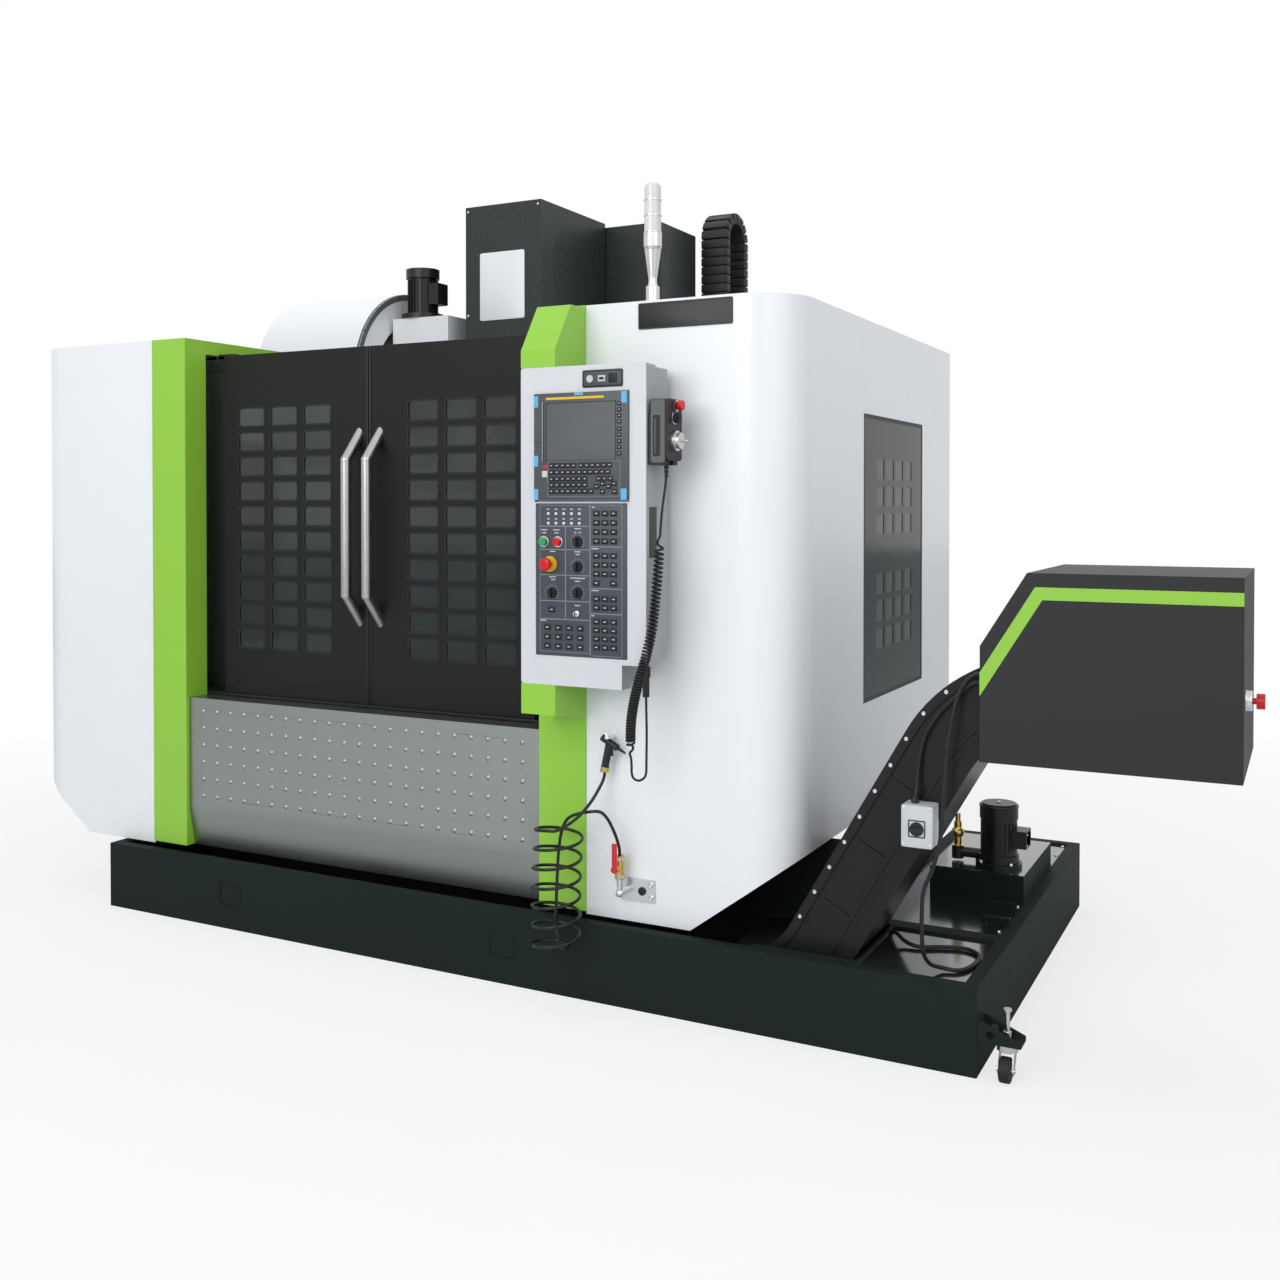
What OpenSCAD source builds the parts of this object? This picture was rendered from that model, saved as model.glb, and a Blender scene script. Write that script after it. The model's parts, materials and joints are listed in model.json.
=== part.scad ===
// Vertical machining centre: enclosed three-axis milling machine with tool magazine,
// swivelling operator panel, coolant tanks and hinged-belt chip conveyor.
// Modelled with +X to the operator's right, +Y to the rear and +Z up, floor at z = 0.

/* [Enclosure] */
// Width over the two side walls
enclosure_w = 3270; // [3000:10:3600]
// Depth of the side walls
enclosure_d = 1833; // [1780:1:1850]
// Height of the enclosure above the floor
enclosure_h = 2167; // [2140:1:2300]
// Height of the lower edge of the front panels
skirt_z = 250; // [247:1:300]
// Radius of the upright front corners
corner_r = 180; // [60:5:240]
// Width of the slanted lower corner
chamfer_w = 325; // [200:5:400]
// Height of the slanted lower corner
chamfer_h = 238; // [150:2:260]
// Thickness of the sheet metal
sheet = 3; // [2:0.5:4]
// Width of the inward lip round the top
lip_w = 60; // [45:1:80]
// Width of a front pillar
pillar_w = 172; // [150:1:190]
// How far the pillars stand proud of the front panels
pillar_proud = 6; // [4:1:8]

/* [Doors] */
// Clear width between the front pillars
opening_w = 1554; // [1500:2:1600]
// Distance of the doors behind the front panels
door_y = 107; // [100:1:120]
// Thickness of a door
door_t = 40; // [30:1:45]
// Width of one door
door_w = 689; // [670:1:700]
// Height of the top edge of the doors
door_top = 2105; // [2060:1:2110]
// Height of the sill on which the doors run
sill_z = 830; // [825:1:850]
// Opening travel of each door
door_travel = 660; // [500:5:660]
// Width of one window pane in a door
pane_w = 129; // [100:1:132]
// Height of one window pane in a door
pane_h = 70; // [50:1:76]
// Rows of window panes in a door
pane_rows = 10; // [6:1:10]
// Radius of a door handle's bar
handle_r = 19; // [12:1:19]
// Distance of the handle's grip from its door
handle_reach = 70; // [66:1:86]

/* [Apron] */
// Height of the top edge of the stainless apron
apron_top = 818; // [800:1:822]
// Columns of raised studs on the apron
stud_cols = 22; // [10:1:24]
// Rows of raised studs on the apron
stud_rows = 6; // [3:1:6]
// Radius of one raised stud
stud_r = 8; // [5:0.5:10]

/* [Machine] */
// Height of the table's working face
table_z = 960; // [950:1:1000]
// Length of the table
table_l = 1200; // [1000:10:1200]
// Width of the table
table_w = 600; // [560:10:600]
// Distance of the spindle axis behind the front panels
spindle_y = 1118; // [1112:1:1124]
// Height of the spindle nose at the top of its travel
nose_z = 1710; // [1706:1:1740]
// Half width of the head cover
head_half = 185; // [180:1:200]
// Height of the top of the head cover
head_top = 2785; // [2700:5:2800]
// Half width of the column
column_half = 420; // [400:5:430]
// Distance of the column's face behind the front panels
column_y = 1740; // [1735:1:1750]

/* [Magazine] */
// Radius of the magazine drum
drum_r = 384; // [370:1:384]
// Height of the magazine axis
drum_z = 2085; // [2082:1:2110]
// Number of tool pots in the magazine
pot_count = 24; // [16:1:24]

/* [Operator panel] */
// Width of the operator box
panel_w = 430; // [420:1:440]
// Depth of the operator box
panel_d = 155; // [145:1:160]
// Height of the lower edge of the operator box
panel_z0 = 996; // [980:1:1000]
// Height of the upper edge of the operator box
panel_z1 = 1957; // [1940:1:1957]

/* [Tanks] */
// Height of the tanks
tank_h = 242; // [225:1:244]
// Thickness of the tank plate
tank_t = 4; // [3:0.5:6]
// Width of the front chip tank
tank_w = 436; // [430:2:460]

/* [Chip conveyor] */
// Depth of the conveyor's section
belt_box = 200; // [190:1:204]
// Width of the conveyor
belt_w = 330; // [300:2:332]
// Rise angle of the conveyor
rise_angle = 60; // [58:0.5:62]
// Length of the straight rise
rise_l = 690; // [680:1:700]
// Length of the conveyor hood
hood_l = 653; // [630:1:680]
// Depth of the conveyor hood
hood_d = 570; // [450:5:600]
// Height of the top of the conveyor hood
hood_top = 1360; // [1330:1:1380]

/* [Hidden] */
$fn = 48;

// Clearances that every fit shares
run_gap = 0.3;
bore_gap = 0.05;
door_gap = 8;

// Enclosure
half_w = enclosure_w / 2;
half_open = opening_w / 2;
panel_edge = half_open + pillar_w;
chamfer_z = skirt_z + chamfer_h;
window_y0 = 680;
window_y1 = 1413;
window_z0 = 870;
window_z1 = 1850;

// Doors
door_x0 = 2;
door_x1 = door_x0 + door_w;
door_z0 = sill_z + run_gap;
pane_pitch_x = pane_w + 30;
pane_pitch_z = pane_h + 22.4;
pane_x0 = 172;
pane_z0 = 1003;
glass_t = 6;
glass_margin = 20;
frame_y0 = door_y + door_t + door_gap;
frame_y1 = frame_y0 + 40;
handle_x = 46;
handle_z0 = 1137;
handle_z1 = 1786;
handle_rise = 1.25 * handle_reach;

// Apron
apron_y = 8;
apron_bend_z = 400;
apron_tuck = 26;
stud_x = 705;
stud_z0 = 453;
stud_z1 = 770;

// Machine castings and slides
bed_half = 450;
bed_y0 = 430;
bed_top = 620;
bed_z0 = 60;
column_d = 590;
column_top = 2440;
column_back = column_y + column_d;
rail_w = 45;
rail_h = 30;
rail_tall = 38;
bed_rail_x = 330;
saddle_half = 500;
saddle_d = 560;
saddle_z0 = bed_top + rail_h + 10;
table_t = 100;
table_z0 = table_z - table_t;
saddle_top = table_z0 - 40;
saddle_rail_y = 200;
column_rail_x = 270;
slot_w = 18;
slot_pitch = 100;
x_cover_l = 460;
y_cover_l = 358;
z_travel = 600;
head_front = spindle_y - 150;
head_back = head_front + 540;
head_floor = nose_z + 190;
cap_front = head_back + 10;
cap_half = 457;
cap_d = 353;
cap_top = 2770;
carriage_half = 320;
carriage_top = column_top - 40;
quill_r = 95;
spindle_r = 50;

// Cable carrier beside the column
carrier_x0 = column_half + 50;
carrier_w = 130;
carrier_t = 50;
carrier_y = 2025;
carrier_r = 105;
carrier_top = 2890;
carrier_bend_z = carrier_top - carrier_r - carrier_t / 2;
carrier_front_z = 2390;
carrier_rear_z = 2000;

// Magazine and tool changer
drum_x0 = -1132;
drum_x1 = -575;
drum_mouth_r = 250;
pot_circle_r = 310;
pot_r = 30;
pot_l = 110;
disc_x = -960;
disc_t = 24;
disc_shaft_r = 40;
arm_x = -400;
arm_reach = 400;
arm_t = 45;
arm_z = drum_z - drum_r - 60;
arm_shaft_r = 35;
cam_x0 = -560;
cam_x1 = -270;
cam_y0 = 960;
cam_y1 = 1250;
cam_z0 = 1990;
cam_z1 = 2342;
motor_r = 72;

// Operator panel, carried on two brackets at its left end
panel_x0 = 828;
panel_x1 = panel_x0 + panel_w;
panel_y1 = -35;
panel_y0 = panel_y1 - panel_d;
panel_face = panel_y0 - 4;
unit_t = 14;
notch_w = 80;
notch_z = panel_z0 + 73;
pivot_x = 892;
pivot_y = -100;
pivot_r = 20;
pivot_l = 30;
bracket_x1 = panel_edge;
button_r = 12;
stem_r = 6;
stem_l = 6;
press = 4;
// Places of the round controls on the lower unit: x, z
estop_at = [934, 1363];
start_at = [913, 1430];
stop_at = [962, 1430];
feed_at = [1030, 1431];
spindle_at = [1030, 1356];
mode_at = [941, 1276];
rapid_at = [1030, 1278];

// Hand-held pendant on the right side of the operator box
pendant_x0 = panel_x1 + 10;
pendant_t = 54;
pendant_x1 = pendant_x0 + pendant_t;
pendant_y0 = -180;
pendant_w = 96;
pendant_yc = pendant_y0 + pendant_w / 2;
pendant_z0 = 1670;
pendant_z1 = 1850;
wheel_z = 1728;
wheel_r = 30;
selector_z = 1795;
stop_z = 1832;

// Tanks
tank_x0 = -1126;
tank_x1 = 2188;
tank_y0 = -60;
tank_y1 = tank_y0 + tank_w;
rim_w = 40;
coolant_x0 = 1700;
coolant_y0 = tank_y1;
coolant_y1 = 1650;
cover_drop = 8;
plinth_h = 95;
pump_x = 2045;
pump_y = 880;
pump_r = 62;
caster_x = 2262;
caster_y = -22;
wheel_radius = 34;
fork_top = 88;

// Chip conveyor: level run, bend, rise, bend and level outlet
belt_y0 = 30;
belt_y1 = belt_y0 + belt_w;
level_z = tank_t + 6 + belt_box / 2;
level_x0 = -1050;
low_bend_r = 300;
low_bend_x = 1453;
high_bend_r = 361;
bend_steps = 15;
rise_x0 = low_bend_x + low_bend_r * sin(rise_angle);
rise_z0 = level_z + low_bend_r * (1 - cos(rise_angle));
rise_x1 = rise_x0 + rise_l * cos(rise_angle);
rise_z1 = rise_z0 + rise_l * sin(rise_angle);
outlet_x = rise_x1 + high_bend_r * sin(rise_angle);
outlet_z = rise_z1 + high_bend_r * (1 - cos(rise_angle));
outlet_l = 230;
hood_x0 = 2179;
hood_x1 = hood_x0 + hood_l;
hood_y0 = -4;
hood_y1 = hood_y0 + hood_d;
hood_z0 = 842;
hood_slant_x = 125;
hood_slant_z = 1158;
knock_y = 90;
knock_z = 1042;
switch_x0 = 1974;
switch_x1 = 2062;
switch_z0 = 597;
switch_z1 = 714;
switch_d = 62;
switch_y1 = belt_y0 - 8;
switch_y0 = switch_y1 - switch_d;
switch_xc = (switch_x0 + switch_x1) / 2;
switch_zc = (switch_z0 + switch_z1) / 2 - 6;

// Air supply on the right front panel
valve_x = 1090;
valve_z = 425;
valve_y = -40;
valve_stem = -32;
gun_x = 1052;
gun_z = 800;
gun_y = -38;
gun_nut = -85;
trigger_w = 8;
trigger_x = 0;
trigger_z = -30;

// Rear cabinet
cabinet_x0 = 680;
cabinet_x1 = 1520;
cabinet_y0 = enclosure_d;
cabinet_y1 = cabinet_y0 + 400;
cabinet_z0 = 350;
cabinet_z1 = 2050;
leaf_t = 24;
hinge_z = [cabinet_z0 + 120, (cabinet_z0 + cabinet_z1) / 2 - 45, cabinet_z1 - 210];
hinge_y = cabinet_y1 + run_gap + leaf_t;
hinge_l = 60;
hinge_r = 8;

// Origin: middle of the machine's footprint, on the floor
knock_out = 45;
estop_out = 38;
x_mid = (hood_x1 + knock_out - half_w) / 2;
y_mid = (column_back + panel_face - estop_out) / 2;

// Routes of the free cords: [x, y, z, radius]
pendant_route = [
  [1295, -132, 1670, 5], [1295, -132, 1650, 5], [1294, -136, 1600, 5], [1292, -150, 1540, 5],
  [1290, -158, 1482, 5], [1290, -160, 1475, 16], [1290, -172, 1380, 16], [1288, -186, 1280, 16],
  [1284, -200, 1190, 16], [1270, -210, 1110, 16], [1246, -206, 1040, 16], [1222, -196, 970, 16],
  [1204, -182, 900, 16], [1194, -166, 830, 16], [1190, -152, 770, 16], [1192, -146, 745, 5],
  [1200, -136, 725, 5], [1210, -128, 722, 5], [1219, -122, 735, 5], [1223, -120, 770, 5],
  [1224, -120, 850, 5], [1223, -120, 920, 5], [1222, -120, 970, 5]];
hose_route = [
  [1090, -40, 462, 5], [1088, -42, 490, 5], [1078, -50, 530, 5], [1062, -60, 570, 5],
  [1046, -68, 592, 5], [1030, -74, 596, 5], [1005, -84, 588, 5], [960, -94, 578, 5],
  [915, -100, 572, 5], [912, -101, 568, 80], [914, -116, 460, 80], [920, -140, 320, 80],
  [928, -154, 230, 80], [930, -156, 180, 80]];
gun_route = [
  [914, -100, 566, 5], [925, -92, 585, 5], [960, -75, 610, 5], [1005, -55, 650, 5],
  [1028, -44, 686, 5], [1034, -38, 706, 5], [1035, -38, 710, 5], [1035, -38, 714.8, 5]];
cable_route = [
  [2178.8, 5, 1080, 6], [2168, 5, 1080, 6], [2142, -2, 1060, 6], [2120, -8, 1012, 6],
  [2106, -16, 940, 6], [2096, -22, 860, 6], [2090, -26, 780, 6], [2086, -28, 700, 6],
  [2080, -32, 620, 6], [2062, -34, 548, 6], [2036, -34, 480, 6], [2030, -30, 420, 6],
  [2028, -22, 350, 6], [2030, -8, 296, 6], [2040, 20, 262, 6], [2062, 50, 246, 6],
  [2105, 60, 240.6, 6], [2128, 95, 240.6, 6], [2138, 150, 240.6, 6], [2130, 215, 240.6, 6],
  [2085, 250, 240.6, 6], [2020, 235, 240.6, 6], [1960, 205, 241, 6], [1915, 215, 247, 6],
  [1880, 240, 260, 6], [1863, 249, 256, 6], [1859, 250, 246, 6], [1859, 250, 234.2, 6]];
branch_route = [
  [2004, -8, 714.2, 6], [2004, -8, 724, 6], [2006, 4, 760, 6], [2010, 12, 830, 6],
  [2026, 13, 900, 6], [2066, 11, 965, 6], [2114, 9, 1015, 6], [2152, 7, 1050, 6],
  [2168, 6, 1057, 6], [2178.8, 6, 1057, 6]];

// Shape helpers
module place() translate([-x_mid, -y_mid, 0]) children();
module box(lo, hi) translate(lo) cube(hi - lo);
// Extrude an outline drawn in x and z from y0 to y1
module slab_y(y0, y1) translate([0, y1, 0]) rotate([90, 0, 0]) linear_extrude(y1 - y0) children();
// Extrude an outline drawn in y and z from x0 to x1
module slab_x(x0, x1) translate([x0, 0, 0]) rotate([90, 0, 90]) linear_extrude(x1 - x0) children();
module rod_x(r, x0, x1) translate([x0, 0, 0]) rotate([0, 90, 0]) cylinder(r = r, h = x1 - x0);
module rod_y(r, y0, y1) translate([0, y1, 0]) rotate([90, 0, 0]) cylinder(r = r, h = y1 - y0);
module rod_z(r, z0, z1) translate([0, 0, z0]) cylinder(r = r, h = z1 - z0);
// Rectangle with rounded corners, lower left corner at the origin
module soft_rect(w, h, r) {
  translate([r, 0]) square([w - 2 * r, h]);
  translate([0, r]) square([w, h - 2 * r]);
  for (x = [r, w - r], y = [r, h - r]) translate([x, y]) circle(r);
}
// Right-hand plan of the enclosure corner, drawn inwards by an inset
module corner_plan(inset, x0, y1) {
  r = corner_r - min(inset, corner_r - 5);
  translate([x0, inset]) square([half_w - inset - r - x0, y1 - inset]);
  translate([x0, inset + r]) square([half_w - inset - x0, y1 - inset - r]);
  translate([half_w - inset - r, inset + r]) circle(r);
}
function along(a, b) = (b - a) / norm(b - a);
function bend_dir(p, i) = along(p[max(i - 1, 0)], p[min(i + 1, len(p) - 1)]);
// Closed tube through a list of [x, y, z, radius] points
module tube(route, sides = 8) {
  pts = [for (q = route) [q[0], q[1], q[2]]];
  rings = [for (i = [0 : len(route) - 1])
    let (d = bend_dir(pts, i),
         u = along([0, 0, 0], cross(d, abs(d[1]) > 0.9 ? [1, 0, 0] : [0, 1, 0])),
         v = cross(d, u))
    for (k = [0 : sides - 1])
      pts[i] + route[i][3] * (cos(k * 360 / sides) * u + sin(k * 360 / sides) * v)];
  last = (len(route) - 1) * sides;
  walls = [for (i = [0 : len(route) - 2], k = [0 : sides - 1])
    let (n = (k + 1) % sides, a = i * sides)
    for (t = [[a + k, a + n, a + sides + k], [a + n, a + sides + n, a + sides + k]]) t];
  start_cap = [for (k = [1 : sides - 2]) [0, k + 1, k]];
  end_cap = [for (k = [1 : sides - 2]) [last, last + k, last + k + 1]];
  polyhedron(points = rings, faces = concat(walls, start_cap, end_cap));
}

// Cast bed with way pads, side pockets and levelling feet
module machine_bed() color("dimgray") place() {
  difference() {
    union() {
      slab_y(bed_y0, column_back)
        polygon([[-bed_half, bed_top], [-bed_half, bed_top - 90], [-bed_half - 60, bed_z0 + 60],
                 [-bed_half - 60, bed_z0], [bed_half + 60, bed_z0], [bed_half + 60, bed_z0 + 60],
                 [bed_half, bed_top - 90], [bed_half, bed_top]]);
      for (s = [-1, 1]) translate([s * bed_rail_x - rail_w / 2, bed_y0 + 60, bed_top])
        cube([rail_w, column_y - bed_y0 - 80, rail_h]);
    }
    for (s = [-1, 1], i = [0 : 3])
      translate([s * (bed_half + 60) - 90, bed_y0 + 120 + i * 450, bed_z0 + 110])
        cube([180, 330, 260]);
  }
  for (s = [-1, 1], i = [0 : 3]) translate([s * bed_half, bed_y0 + 60 + i * 590, 0]) {
    rod_z(60, 0, 22);
    rod_z(20, 22, bed_z0);
  }
}

// Column casting with two guide rails and the carrier's fixed bracket
module column() color("dimgray") place() {
  difference() {
    slab_x(-column_half, column_half)
      polygon([[column_y, bed_top], [column_back, bed_top], [column_back, 1500],
               [column_back - 120, column_top], [column_y, column_top]]);
    box([-column_rail_x + 70, column_y - 1, 900], [column_rail_x - 70, column_y + 80, 2200]);
    for (z = [900, 1500]) translate([-column_half - 1, column_y + 160, z])
      cube([61, 260, 420]);
    for (z = [900, 1500]) translate([column_half - 60, column_y + 160, z])
      cube([61, 260, 420]);
  }
  for (s = [-1, 1]) translate([s * column_rail_x - rail_w / 2, column_y - rail_tall, 1000])
    cube([rail_w, rail_tall, carriage_top - 1000]);
  box([column_half, carrier_y + carrier_r - carrier_t / 2, carrier_rear_z - 40],
      [carrier_x0 + carrier_w, carrier_y + carrier_r + carrier_t / 2, carrier_rear_z]);
}

// Folded cover over the counterbalance sprockets on the column
module column_cap() color([0.2, 0.21, 0.21]) place() difference() {
  box([-cap_half, cap_front, carriage_top + 10], [cap_half, cap_front + cap_d, cap_top]);
  box([-cap_half + sheet, cap_front + sheet, carriage_top],
      [cap_half - sheet, cap_front + cap_d - sheet, cap_top - sheet]);
  box([-column_half, column_y, carriage_top], [column_half, cap_front + cap_d + 1, column_top]);
}

// Cable carrier that rolls with the head
module cable_carrier() color([0.1, 0.1, 0.1]) place() {
  outer = carrier_r + carrier_t / 2;
  inner = carrier_r - carrier_t / 2;
  pitch = 46;
  difference() {
    slab_x(carrier_x0, carrier_x0 + carrier_w) translate([carrier_y, carrier_bend_z]) {
      difference() {
        circle(outer);
        circle(inner);
        translate([-outer - 1, -outer - 1]) square([2 * outer + 2, outer + 1]);
      }
      translate([-outer, carrier_front_z - carrier_bend_z])
        square([carrier_t, carrier_bend_z - carrier_front_z]);
      translate([inner, carrier_rear_z - carrier_bend_z])
        square([carrier_t, carrier_bend_z - carrier_rear_z]);
    }
    for (a = [10 : 24 : 170])
      translate([carrier_x0 - 1, carrier_y, carrier_bend_z]) rotate([a, 0, 0])
        translate([0, outer - 10, -2]) cube([carrier_w + 2, 12, 4]);
    for (z = [carrier_front_z + 40 : pitch : carrier_bend_z - 10])
      translate([carrier_x0 - 1, carrier_y - outer - 2, z]) cube([carrier_w + 2, 12, 4]);
    for (z = [carrier_rear_z + 40 : pitch : carrier_bend_z - 10])
      translate([carrier_x0 - 1, carrier_y + outer - 10, z]) cube([carrier_w + 2, 12, 4]);
  }
}

// Right side of the enclosure: front panel, rounded corner, side wall, lip and slanted foot
module enclosure_side() {
  slant_w = norm([chamfer_w, chamfer_h]);
  difference() {
    union() {
      translate([0, 0, skirt_z]) linear_extrude(enclosure_h - skirt_z) difference() {
        corner_plan(0, panel_edge, enclosure_d);
        corner_plan(sheet, panel_edge - 1, enclosure_d + 1);
      }
      translate([0, 0, enclosure_h - sheet]) linear_extrude(sheet) difference() {
        corner_plan(0, panel_edge, enclosure_d);
        corner_plan(lip_w, panel_edge - 1, enclosure_d + 1);
      }
    }
    slab_y(-1, enclosure_d + 1)
      polygon([[half_w - chamfer_w, skirt_z - 1], [half_w - chamfer_w, skirt_z],
               [half_w, chamfer_z], [half_w + 1, chamfer_z], [half_w + 1, skirt_z - 1]]);
    box([half_w - sheet - 1, window_y0, window_z0], [half_w + 1, window_y1, window_z1]);
  }
  intersection() {
    slab_y(0, enclosure_d)
      polygon([[half_w - chamfer_w, skirt_z], [half_w, chamfer_z],
               [half_w, chamfer_z + sheet * slant_w / chamfer_w],
               [half_w - chamfer_w, skirt_z + sheet * slant_w / chamfer_w]]);
    translate([0, 0, skirt_z]) linear_extrude(chamfer_h + 20) corner_plan(0, panel_edge, enclosure_d);
  }
}
module right_enclosure() color("white") place() {
  enclosure_side();
  // Hook that holds the blow gun
  box([gun_x - 14, -4, gun_z + 8], [gun_x + 14, 0, gun_z + 52]);
  box([gun_x - 5, gun_y - 14, gun_z + 20], [gun_x + 5, -4, gun_z + 26]);
  box([gun_x - 5, gun_y - 18, gun_z + 20], [gun_x + 5, gun_y - 14, gun_z + 40]);
}
module left_enclosure() color("white") place() mirror([1, 0, 0]) enclosure_side();

// Rear walls beside the column, with the carcass of the electrical cabinet
module rear_enclosure() color("whitesmoke") place() {
  difference() {
    for (s = [0, 1]) mirror([s, 0, 0])
      box([column_half, enclosure_d - sheet, chamfer_z + 20],
          [half_w - sheet, enclosure_d, enclosure_h - sheet]);
    // Slot in which the cable carrier's bracket travels
    box([column_half - 1, enclosure_d - sheet - 1, carrier_front_z - z_travel - 100],
        [carrier_x0 + carrier_w + 40, enclosure_d + 1, enclosure_h]);
    box([-bed_half - 4, enclosure_d - sheet - 1, 0], [bed_half + 4, enclosure_d + 1, bed_top + 4]);
  }
  difference() {
    box([cabinet_x0, cabinet_y0, cabinet_z0], [cabinet_x1, cabinet_y1, cabinet_z1]);
    box([cabinet_x0 + sheet, cabinet_y0 + sheet, cabinet_z0 + sheet],
        [cabinet_x1 - sheet, cabinet_y1 + 1, cabinet_z1 - sheet]);
  }
  for (z = hinge_z) translate([cabinet_x1, 0, z]) {
    box([-1, cabinet_y1 - 40, hinge_l + 1], [6, cabinet_y1 - 2, hinge_l + 29]);
    box([0.5, cabinet_y1 - 4, hinge_l + 1], [6, hinge_y, hinge_l + 29]);
    translate([0, hinge_y, 0]) rod_z(hinge_r, hinge_l + run_gap, hinge_l + 30);
  }
}
// Leaf of the rear cabinet, with its lock handle
module cabinet_door() color("whitesmoke") place() {
  difference() {
    box([cabinet_x0, cabinet_y1 + run_gap, cabinet_z0],
        [cabinet_x1, cabinet_y1 + run_gap + leaf_t, cabinet_z1]);
    box([cabinet_x0 + 30, cabinet_y1 + run_gap - 1, cabinet_z0 + 30],
        [cabinet_x1 - 30, cabinet_y1 + run_gap + leaf_t - sheet, cabinet_z1 - 30]);
    for (z = hinge_z) box([cabinet_x1 - hinge_r - 2, hinge_y - hinge_r - 2, z + hinge_l],
                          [cabinet_x1 + 1, hinge_y + 1, z + hinge_l + 32]);
  }
  for (z = hinge_z) translate([cabinet_x1, hinge_y, z]) rod_z(hinge_r, 0, hinge_l);
  translate([cabinet_x0 + 60, 0, 1200]) {
    rod_y(18, cabinet_y1 + leaf_t, cabinet_y1 + leaf_t + 20);
    box([-12, cabinet_y1 + leaf_t + 20, -90], [12, cabinet_y1 + leaf_t + 34, 20]);
  }
}

// Folded pillars at both sides of the doors
module pillar() {
  box([half_open, -pillar_proud, skirt_z + 9], [panel_edge, sheet - pillar_proud, enclosure_h]);
  box([half_open, -pillar_proud, skirt_z + 9], [half_open + sheet, door_y - 8, enclosure_h]);
  box([panel_edge - sheet, -pillar_proud, skirt_z + 9], [panel_edge, sheet, enclosure_h]);
  box([half_open, door_y - 9, door_top + 10], [half_open + sheet, spindle_y - drum_r - 34, enclosure_h]);
}
module front_pillars() color([0.47, 0.76, 0.16]) place() {
  pillar();
  mirror([1, 0, 0]) pillar();
}

// Stainless apron under the doors: folded sheet with rows of raised studs
module front_apron() color("silver") place() {
  half = half_open - run_gap;
  slab_x(-half, half)
    polygon([[apron_y, apron_top], [apron_y, apron_bend_z], [apron_y + apron_tuck, skirt_z + 8],
             [apron_y + apron_tuck + 2, skirt_z + 8], [apron_y + 2, apron_bend_z],
             [apron_y + 2, apron_top - 2], [frame_y0 - 40, apron_top - 2],
             [frame_y0 - 40, apron_top]]);
  for (i = [0 : stud_cols - 1], j = [0 : stud_rows - 1])
    translate([-stud_x + i * 2 * stud_x / (stud_cols - 1), apron_y + 0.5,
               stud_z0 + j * (stud_z1 - stud_z0) / (stud_rows - 1)])
      rotate([90, 0, 0]) rotate_extrude($fn = 16) intersection() {
        translate([0, -stud_r * 0.6]) circle(stud_r * 1.2, $fn = 32);
        square([stud_r, stud_r]);
      }
}

// Black door frame: sill track, jambs behind the doors and top rail
module door_frame() color([0.08, 0.08, 0.08]) place() {
  run = door_x1 + door_travel + 20;
  difference() {
    union() {
      box([-run, frame_y0, sill_z - 40], [run, frame_y1, door_top - 5]);
      box([-run, door_y - 8, sill_z - 40], [run, frame_y1, sill_z]);
    }
    box([-half_open + 77, frame_y0 - 1, sill_z], [half_open - 77, frame_y1 + 1, door_top - 70]);
    for (s = [0, 1]) mirror([s, 0, 0])
      box([half_open + 10, frame_y0 - 1, sill_z], [run + 1, frame_y1 + 1, door_top - 70]);
    box([-half_open + 77, door_y + door_t + 2, sill_z - 41], [half_open - 77, frame_y1 + 1, sill_z - 12]);
    // The sill carries the apron's top fold
    box([-half_open, door_y - 9, sill_z - 41], [half_open, frame_y0 - 40, apron_top]);
    box([-half_open, door_y - 9, sill_z - 41], [half_open, door_y - 1, sill_z - 10]);
  }
}

// Sliding door of folded sheet, right-hand
module door() {
  difference() {
    box([door_x0, door_y, door_z0], [door_x1, door_y + door_t, door_top]);
    box([door_x0 + sheet, door_y + sheet, door_z0 + 40],
        [door_x1 - sheet, door_y + door_t + 1, door_top - sheet]);
    slab_y(door_y - 1, door_y + sheet + 1)
      for (i = [0 : 2], j = [0 : pane_rows - 1])
        translate([pane_x0 + i * pane_pitch_x, pane_z0 + j * pane_pitch_z]) soft_rect(pane_w, pane_h, 12);
  }
}
module door_glass()
  box([pane_x0 - glass_margin, door_y + sheet, pane_z0 - glass_margin],
      [pane_x0 + 2 * pane_pitch_x + pane_w + glass_margin, door_y + sheet + glass_t,
       pane_z0 + (pane_rows - 1) * pane_pitch_z + pane_h + glass_margin]);
// C-shaped bar handle with slanted ends
module handle() {
  grip_y = door_y - handle_reach;
  lean = atan(handle_reach / handle_rise);
  leg_l = handle_reach / sin(lean);
  intersection() {
    translate([handle_x, grip_y, 0]) {
      rod_z(handle_r, handle_z0 + handle_rise, handle_z1 - handle_rise);
      for (end = [[handle_z0 + handle_rise, 180 - lean], [handle_z1 - handle_rise, lean]])
        translate([0, 0, end[0]]) {
          sphere(handle_r + 0.4);
          rotate([-end[1], 0, 0]) cylinder(r = handle_r, h = leg_l + 40);
        }
    }
    box([0, 0, handle_z0 - 100], [3 * handle_x, door_y, handle_z1 + 100]);
  }
}
module right_door() color([0.11, 0.12, 0.11]) place() door();
module left_door() color([0.11, 0.12, 0.11]) place() mirror([1, 0, 0]) door();
module right_glass() color([0.3, 0.36, 0.36]) place() door_glass();
module left_glass() color([0.3, 0.36, 0.36]) place() mirror([1, 0, 0]) door_glass();
module right_handle() color("silver") place() handle();
module left_handle() color("silver") place() mirror([1, 0, 0]) handle();

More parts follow.
